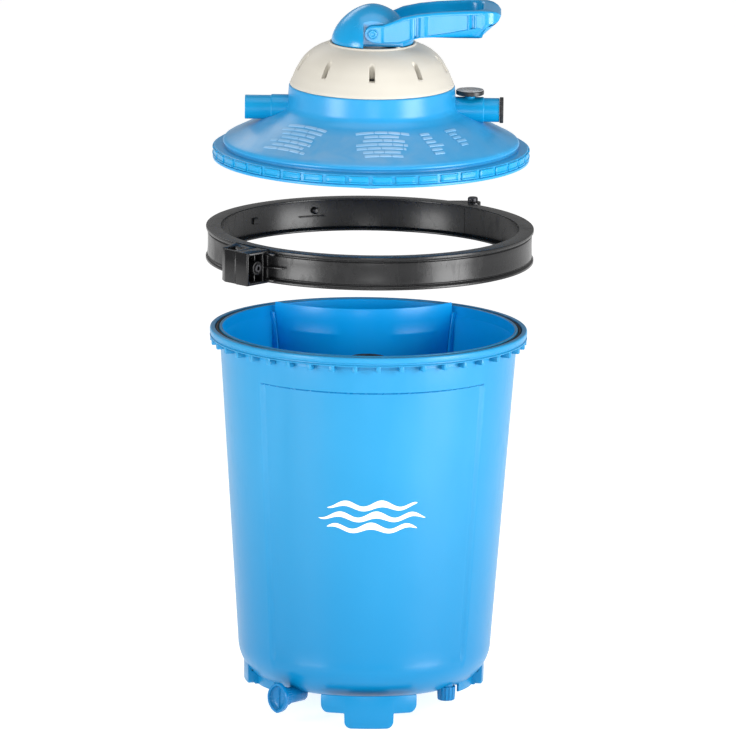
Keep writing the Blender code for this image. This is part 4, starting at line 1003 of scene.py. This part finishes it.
def build_lid():
    up = lift(LID_Z)
    body = lid_body()
    bores = []
    for azimuth in (-90.0, 90.0, 180.0):
        outline = arc(0.0150, 0.0, 360.0, 64)[:-1]
        bores.append(move(prism("bore", outline, 0.088, 0.150), radial_axis(azimuth, PORT_Z)))
    for bore in bores:
        boolean(body, bore)
    dress(move(body, up), "lid", "lid_blue", "lid")
    dress(move(rim_blocks(), up), "lid", "lid_blue")
    stepped = ((0.0204, 0.1575), (0.0189, 0.1990))
    ports = [hose_port(-90.0, stepped, "port"), hose_port(180.0, stepped, "port"),
             hose_port(90.0, ((0.0204, 0.1755), (0.0189, 0.2005)), "port")]
    neck = lathe("neck", soften([(0.0, 0.0950), (0.0110, 0.0950), (0.0086, 0.1000), (0.0080, 0.1039), (0.0, 0.1039)],
                                0.0008, 3, closed=False), PORT_BLUE, 48)
    ports.append(move(neck, Matrix.Translation((0.154, 0.0, 0.0))))
    dress(move(join("lid_hose_ports", ports), up), "lid", "lid_blue")
    dress(move(raised_marks(), up), "lid", "lid_blue")
    start = 0.2008
    seal = soften([(0.0150, start), (0.0204, start), (0.0204, start + 0.006), (0.0150, start + 0.006)], 0.0010, 3)
    dress(move(lathe("port_end_ring", seal, RUBBER, 88), up @ radial_axis(90.0, PORT_Z)), "lid", "rubber_black",
          "port_seal")


def cover_profile():
    outside = [(0.1288, 0.1184), (0.1290, 0.1196), (0.1274, 0.1240), (0.1250, 0.1290), (0.1232, 0.1340),
               (0.1210, 0.1390), (0.1185, 0.1438), (0.1155, 0.1486), (0.1130, 0.1534), (0.1096, 0.1584),
               (0.1056, 0.1632), (0.1006, 0.1678), (0.0945, 0.1726), (0.0870, 0.1770), (0.0785, 0.1806),
               (0.0712, 0.1830)]
    lip = soften([(0.0688, 0.1838), (0.0682, 0.1866), (0.0658, 0.1866), (0.0654, 0.1845)], 0.0007, 3, closed=False)
    inside = [(0.0120, 0.1845), (0.0120, 0.1795), (0.0600, 0.1785), (0.0830, 0.1685), (0.0905, 0.1580),
              (0.0905, 0.1184)]
    return outside + lip + inside


def build_cover():
    """The off-white dome: nine screw recesses open outwards, each with its screw."""
    up = lift(LID_Z)
    cover = lathe("domed_cover", cover_profile(), COVER_WHITE, 224, smooth=30.0)
    for index in range(9):
        azimuth = 40.0 * index
        outline = arc(0.0046, 90.0, 270.0, 14, (0.1040, 0.0)) + [(0.1400, -0.0046), (0.1400, 0.0046)]
        notch = prism("notch", outline, 0.1430, 0.2000)
        boolean(cover, move(notch, outward(azimuth)))
    small_tab = edges(slab((-0.0030, -0.0010, 0.1830), (0.0030, 0.0040, 0.1880), COVER_WHITE), 0.0007, 3)
    move(small_tab, Matrix.Translation(at(38.0, 0.0668)) @ turn(38.0))
    dress(move(join("valve_dome", [edges(cover, 0.0006, 2, 40.0), small_tab]), up), "lid", "cover_white",
          "valve_cover")
    for index in range(9):
        floor = 0.1433
        profile = soften([(0.0, 0.1060), (0.0021, 0.1060), (0.0021, floor), (0.0034, floor), (0.0034, floor + 0.0014),
                          (0.0028, floor + 0.0028), (0.0014, floor + 0.0031), (0.0014, floor + 0.0022),
                          (0.0, floor + 0.0022)], 0.0003, 2, closed=False)
        screw = lathe("dome_screw_" + str(index + 1), profile, DARK_STEEL, 36)
        spot = at(40.0 * index, 0.103)
        dress(move(screw, up @ Matrix.Translation(spot)), "lid", "fixing_steel",
              "valve_cover_screw_" + str(index + 1))


def build_gauge():
    place = lift(LID_Z) @ Matrix.Translation((0.154, 0.0, 0.0))
    low = 0.1042
    case = soften([(0.0, low), (0.0200, low), (0.0220, low + 0.0010), (0.0220, low + 0.0062), (0.0213, low + 0.0076),
                   (0.0206, low + 0.0076), (0.0206, low + 0.0020), (0.0, low + 0.0020)], 0.0005, 3, closed=False)
    dress(move(lathe("gauge_housing", case, BLACK, 96), place), "lid", "fitting_black", "gauge_case")
    bezel = soften([(0.0203, low + 0.0070), (0.0212, low + 0.0070), (0.0212, low + 0.0080), (0.0203, low + 0.0081)],
                   0.0003, 3)
    dress(move(lathe("gauge_bezel", bezel, GREY, 96), place), "lid", "lens_clear")
    face = lathe("gauge_face", [(0.0, low + 0.0023), (0.0202, low + 0.0023), (0.0202, low + 0.0033),
                                (0.0, low + 0.0033)], DIAL, 96)
    dress(move(face, place), "lid", "dial_white", "gauge_dial")
    ticks = []
    for index in range(28):
        angle = -135.0 + 10.0 * index
        long = index % 3 == 0
        tick = prism("tick", [(-0.0003, 0.0142 if long else 0.0160), (0.0003, 0.0142 if long else 0.0160),
                              (0.0003, 0.0180), (-0.0003, 0.0180)], low + 0.0033, low + 0.0035, INK)
        ticks.append(move(tick, turn(-angle)))
    dress(move(join("gauge_ticks", ticks), place), "lid", "fitting_black")
    needle = prism("gauge_pointer", [(-0.0055, -0.0010), (-0.0010, -0.0012), (0.0150, -0.0002), (0.0150, 0.0002),
                                     (-0.0010, 0.0012), (-0.0055, 0.0010)], low + 0.0037, low + 0.0043, RED)
    pivot = lathe("pivot", [(0.0, low + 0.0037), (0.0020, low + 0.0037), (0.0017, low + 0.0048), (0.0, low + 0.0050)],
                  RED, 32)
    move(needle, turn(225.0))
    dress(move(join("gauge_pointer", [needle, pivot]), place), "needle", "needle_red", "gauge_needle")
    lens = soften([(0.0, low + 0.0056), (0.0203, low + 0.0056), (0.0203, low + 0.0068), (0.0190, low + 0.0076),
                   (0.0, low + 0.0080)], 0.0004, 2, closed=False)
    dress(move(lathe("gauge_window", lens, GLASS, 96), place), "lid", "lens_clear", "gauge_lens")


# ---------------------------------------------------------------- lever valve

BONNET_BASE, BONNET_SHOULDER, BONNET_TOP, BONNET_R = 0.1866, 0.190, 0.247, 0.0645
PIN_Z = 0.208


def bonnet_radius(height):
    rise = (height - BONNET_SHOULDER) / (BONNET_TOP - BONNET_SHOULDER)
    return BONNET_R * max(0.0, 1.0 - rise ** 1.6) ** 0.571


def build_bonnet():
    up = lift(LID_Z)
    dome = []
    for step in range(1, 40):
        height = BONNET_SHOULDER + (BONNET_TOP - BONNET_SHOULDER) * math.sin(math.pi / 2 * step / 40)
        dome.append((bonnet_radius(height), height))
    cavity = [(0.0, 0.2295), (0.020, 0.2295), (0.020, 0.216), (0.036, 0.216), (0.036, BONNET_BASE)]
    profile = cavity + [(BONNET_R - 0.0006, BONNET_BASE), (BONNET_R, BONNET_BASE + 0.0008),
                        (BONNET_R, BONNET_SHOULDER)]
    profile += dome + [(0.0, BONNET_TOP)]
    bonnet = lathe("round_bonnet", profile, HANDLE_BLUE, 128, smooth=35.0)
    flat = 0.0437
    for side in (1.0, -1.0):
        outline = soften([(-0.0145, 0.170), (0.090, 0.170), (0.090, 0.260), (-0.0145, 0.260)], 0.001, 1)
        cheek = prism("cheek", outline, 0.0, 0.06)
        move(cheek, Matrix.Rotation(math.pi / 2, 4, "X"))
        move(cheek, Matrix.Translation((0.0, flat + 0.06 if side > 0 else -flat, 0.0)))
        boolean(bonnet, cheek)
    dress(move(edges(bonnet, 0.0009, 3, 50.0), up), "turret", "handle_blue", "handle_bonnet")

    pin = soften([(0.0, -0.0528), (0.004, -0.0528), (0.004, 0.0526), (0.0068, 0.0526), (0.0068, 0.0538),
                  (0.0058, 0.0545), (0.0036, 0.0545), (0.0032, 0.0538), (0.0, 0.0538)], 0.0003, 2, closed=False)
    piece = move(lathe("lever_pin", pin, HANDLE_BLUE, 56), Matrix.Rotation(math.pi / 2, 4, "X"))
    dress(move(piece, up @ lift(PIN_Z)), "turret", "handle_blue", "pivot_pin")
    washer = soften([(0.0365, 0.1848), (0.043, 0.1848), (0.043, 0.1863), (0.0365, 0.1863)], 0.0003, 2)
    dress(move(lathe("slip_washer", washer, PIPE_WHITE, 72), up), "turret", "pipe_white", "thrust_washer")


UPPER = ((-0.0125, 0.0), (-0.0120, 0.0035), (-0.0100, 0.0075), (-0.0050, 0.0115), (0.0, 0.0125), (0.015, 0.0133),
         (0.030, 0.0188), (0.047, 0.0265), (0.073, 0.0320), (0.103, 0.0355), (0.143, 0.0378), (0.165, 0.0387),
         (0.180, 0.0385), (0.190, 0.0368), (0.197, 0.0335), (0.2010, 0.0285))
LOWER = ((-0.0125, 0.0), (-0.0120, -0.0035), (-0.0100, -0.0075), (-0.0050, -0.0115), (0.0, -0.0135), (0.010, -0.0148),
         (0.041, -0.0150), (0.059, -0.0095), (0.075, -0.0050), (0.095, -0.0040), (0.130, -0.0046), (0.165, -0.0045),
         (0.1720, -0.0040), (0.1745, 0.0080), (0.178, 0.0125), (0.190, 0.0150), (0.197, 0.0190), (0.2010, 0.0285))


def along_line(points, x):
    """Height of a line at x, smoothed a little between its points."""
    if x <= points[0][0]:
        return points[0][1]
    for (x0, z0), (x1, z1) in zip(points, points[1:]):
        if x <= x1:
            t = (x - x0) / (x1 - x0)
            return z0 + (z1 - z0) * t
    return points[-1][1]


def smooth_line(points, x, reach):
    return sum(along_line(points, x + reach * offset) for offset in (-1.0, -0.5, 0.0, 0.5, 1.0)) / 5.0


def panel_inset(x):
    """How far the arm's outer face is set in, along its length."""
    levels = ((0.0, 0.0), (0.0145, 0.0), (0.0165, 0.0010), (0.0590, 0.0010), (0.0605, 0.0), (0.0625, 0.0),
              (0.0675, 0.0046), (0.0700, 0.0046), (0.0750, 0.0), (0.0825, 0.0), (0.0840, 0.0014), (0.1480, 0.0014),
              (0.1490, 0.0), (0.1510, 0.0), (0.1550, 0.0044), (0.1570, 0.0044), (0.1610, 0.0008), (0.176, 0.0008),
              (0.178, 0.0))
    return along_line(levels, x)


def under_bevel(x):
    """Share of the arm's height that turns in under it, and how far in it goes."""
    share = along_line(((0.0, 0.02), (0.085, 0.03), (0.100, 0.08), (0.165, 0.36), (0.178, 0.20), (0.201, 0.06)), x)
    return share, 1.0 - 0.8 * min(1.0, share / 0.3)


def lever_stations():
    """Pairs of outer and inner plan points from the near arm's root, round the grip, to the far arm's root."""
    outer_y, inner_y, tip, grip = 0.0524, 0.0441, 0.2010, 0.1725
    corner, inner_corner = 0.030, 0.0220
    pairs = []
    for x in ([-0.0125, -0.0124, -0.0120, -0.0112, -0.0098, -0.0075, -0.0040, 0.0, 0.005]
              + steps_between(0.010, 0.148, 70)):
        pairs.append(((x, -outer_y), (x, -inner_y)))
    start_x = 0.148
    for step in range(1, 15):
        t = step / 15.0
        x = start_x + (tip - corner - start_x) * t
        pairs.append(((x, -outer_y), (start_x + (grip - inner_corner - start_x) * t, -inner_y)))
    for step in range(0, 15):
        angle = math.radians(-90.0 + 90.0 * step / 14)
        outer = (tip - corner + corner * math.cos(angle), -outer_y + corner + corner * math.sin(angle))
        inner = (grip - inner_corner + inner_corner * math.cos(angle),
                 -inner_y + inner_corner + inner_corner * math.sin(angle))
        pairs.append((outer, inner))
    for step in range(1, 8):
        t = step / 8.0
        pairs.append(((tip, (-outer_y + corner) * (1.0 - t)), (grip, (-inner_y + inner_corner) * (1.0 - t))))
    mirrored = [((o[0], -o[1]), (i[0], -i[1])) for o, i in reversed(pairs)]
    middle = [((tip, 0.0), (grip, 0.0))]
    return pairs + middle + mirrored


def build_lever():
    """A hooped lever: two arms with set-in outer faces, joined by a hooked grip."""
    section = [(0.0, 0.10), (0.0, 0.90), (0.04, 0.965), (0.13, 1.0), (0.87, 1.0), (0.96, 0.965), (1.0, 0.91),
               (1.0, 0.87), (0.999, 0.85), (0.999, 0.15), (1.0, 0.13), (1.0, 0.09), (0.96, 0.035), (0.87, 0.0),
               (0.13, 0.0), (0.04, 0.035)]
    rings = []
    for outer, inner in lever_stations():
        ring = []
        o, i = Vector(outer), Vector(inner)
        across = o - i
        share, far = under_bevel(o.x)
        for index, (u, v) in enumerate(section):
            if 9 <= index <= 12:
                v = (0.04 + share, 0.02 + share, share, 0.0)[index - 9]
                u = (0.999, 1.0, 0.985, 0.98 * far)[index - 9]
            spot = i + across * u
            x = spot.x
            low = smooth_line(LOWER, x, 0.0012)
            high = smooth_line(UPPER, x, 0.0012)
            if x < -0.0060:
                reach = math.sqrt(max(0.0, 0.0125 ** 2 - x * x))
                low, high = -reach, reach
            height = low + (high - low) * v
            if index in (8, 9) and abs(spot.y) > 0.0495:
                spot.y -= math.copysign(panel_inset(x), spot.y)
            ring.append((spot.x, spot.y, height))
        rings.append(ring)
    lever = loft("hooped_lever", rings, HANDLE_BLUE, smooth=32.0)
    hole = move(prism("hole", arc(0.0042, 0.0, 360.0, 40)[:-1], -0.08, 0.08), Matrix.Rotation(math.pi / 2, 4, "X"))
    boolean(lever, hole)
    bosses = []
    for side in (1.0, -1.0):
        collar = soften([(0.0072, 0.0518), (0.0086, 0.0518), (0.0086, 0.0530), (0.0072, 0.0530)], 0.0003, 2)
        ring = lathe("boss", collar, HANDLE_BLUE, 56)
        bosses.append(move(ring, Matrix.Rotation(math.pi / 2 * side, 4, "X")))
    piece = join("hooped_lever", [lever] + bosses)
    dress(move(piece, lift(LID_Z + PIN_Z)), "lever", "handle_blue", "lever_handle")


def paint_hidden():
    """The sealed inner pieces keep their CAD shapes."""
    repaint(RUBBER, "cover_o_ring", "spider_gasket", "shaft_o_ring")
    repaint(STEEL, "rotor_shaft", "valve_spring")
    repaint(PIPE_WHITE, "valve_rotor")


# ---------------------------------------------------------------- stage

# Name, azimuth, distance, bottom, top, width, radiance and aim height of each upright light.
SOFTBOXES = (("right_softbox", 57.0, 2.6, 0.02, 1.55, 1.30, 12.2, 0.6),
             ("left_softbox", -48.0, 2.6, 0.12, 1.60, 1.00, 10.6, 0.8),
             ("front_softbox", 2.3, 2.5, 0.50, 1.10, 0.60, 6.8, 0.7),
             ("rear_softbox", -155.0, 3.0, 2.1, 3.1, 1.8, 2.0, 0.9))
# A nearly parallel view. From about 55 m on, the other views' far limit cuts the object off.
CAMERA_DISTANCE = 40.0
CAMERA_FIELD = 1.157
CAMERA_AIM = 0.5405
CAMERA_ELEVATION, CAMERA_ROLL = 11.3, 0.8
FLOOR_HALF = 40.0
FLOOR_DROP = 0.0005


def build_stage():
    scene = bpy.context.scene
    scene.view_settings.view_transform = "Standard"
    scene.view_settings.look = "None"
    material, tree, shader = shader_of("pale_floor", 0.55, 0.15)
    tone = spread(tree, noise(tree, 0.8, 2.0), 0.3, 0.7, 0.0, 1.0)
    tree.links.new(blend_colour(tree, tone, (0.58, 0.575, 0.57), (0.61, 0.605, 0.60)), shader.inputs["Base Color"])
    shader.inputs["Emission Color"].default_value = (1.0, 1.0, 1.0, 1.0)
    shader.inputs["Emission Strength"].default_value = 0.80
    mesh = bpy.data.meshes.new("floor")
    corners = ((-1.0, -1.0), (1.0, -1.0), (1.0, 1.0), (-1.0, 1.0))
    mesh.from_pydata([(x * FLOOR_HALF, y * FLOOR_HALF, -FLOOR_DROP) for x, y in corners], [], [(0, 1, 2, 3)])
    mesh.materials.append(material)
    floor = bpy.data.objects.new("floor", mesh)
    scene.collection.objects.link(floor)

    world = bpy.data.worlds.new("studio")
    world.use_nodes = True
    world.node_tree.nodes["Background"].inputs["Color"].default_value = (1.0, 1.0, 1.0, 1.0)
    world.node_tree.nodes["Background"].inputs["Strength"].default_value = 0.32
    scene.world = world

    def softbox(name, azimuth, distance, low, high, width, radiance, aim):
        """An upright light between two heights, turned to face the aim height on the axis."""
        spot = at(azimuth, distance, 0.5 * (low + high))
        data = bpy.data.lights.new(name, "AREA")
        data.shape = "RECTANGLE"
        data.size = width
        data.size_y = high - low
        data.energy = radiance * math.pi * width * (high - low)
        lamp = bpy.data.objects.new(name, data)
        scene.collection.objects.link(lamp)
        lamp.location = spot
        lamp.rotation_mode = "QUATERNION"
        lamp.rotation_quaternion = (Vector((0.0, 0.0, aim)) - spot).to_track_quat("-Z", "Y")

    for settings in SOFTBOXES:
        softbox(*settings)
    data = bpy.data.lights.new("top_softbox", "AREA")
    data.shape = "RECTANGLE"
    data.size = 2.6
    data.size_y = 2.2
    data.energy = 33.0
    lamp = bpy.data.objects.new("top_softbox", data)
    lamp.location = (0.15, -0.5, 3.3)
    scene.collection.objects.link(lamp)

    elevation = math.radians(CAMERA_ELEVATION)
    data = bpy.data.cameras.new("camera")
    data.lens = data.sensor_width * CAMERA_DISTANCE / CAMERA_FIELD
    data.clip_end = 200.0
    camera = bpy.data.objects.new("camera", data)
    scene.collection.objects.link(camera)
    centre = Vector((0.0, 0.0, CAMERA_AIM))
    back = Vector((0.0, -math.cos(elevation), math.sin(elevation)))
    camera.location = centre + back * CAMERA_DISTANCE
    aim = (-back).to_track_quat("-Z", "Y").to_matrix().to_4x4()
    camera.matrix_world = Matrix.Translation(camera.location) @ aim @ Matrix.Rotation(math.radians(CAMERA_ROLL), 4, "Z")
    scene.camera = camera


build_tank()
build_baffle()
build_tank_inside()
build_drains()
build_clamp()
build_lid()
build_cover()
build_gauge()
build_bonnet()
build_lever()
paint_hidden()
build_stage()
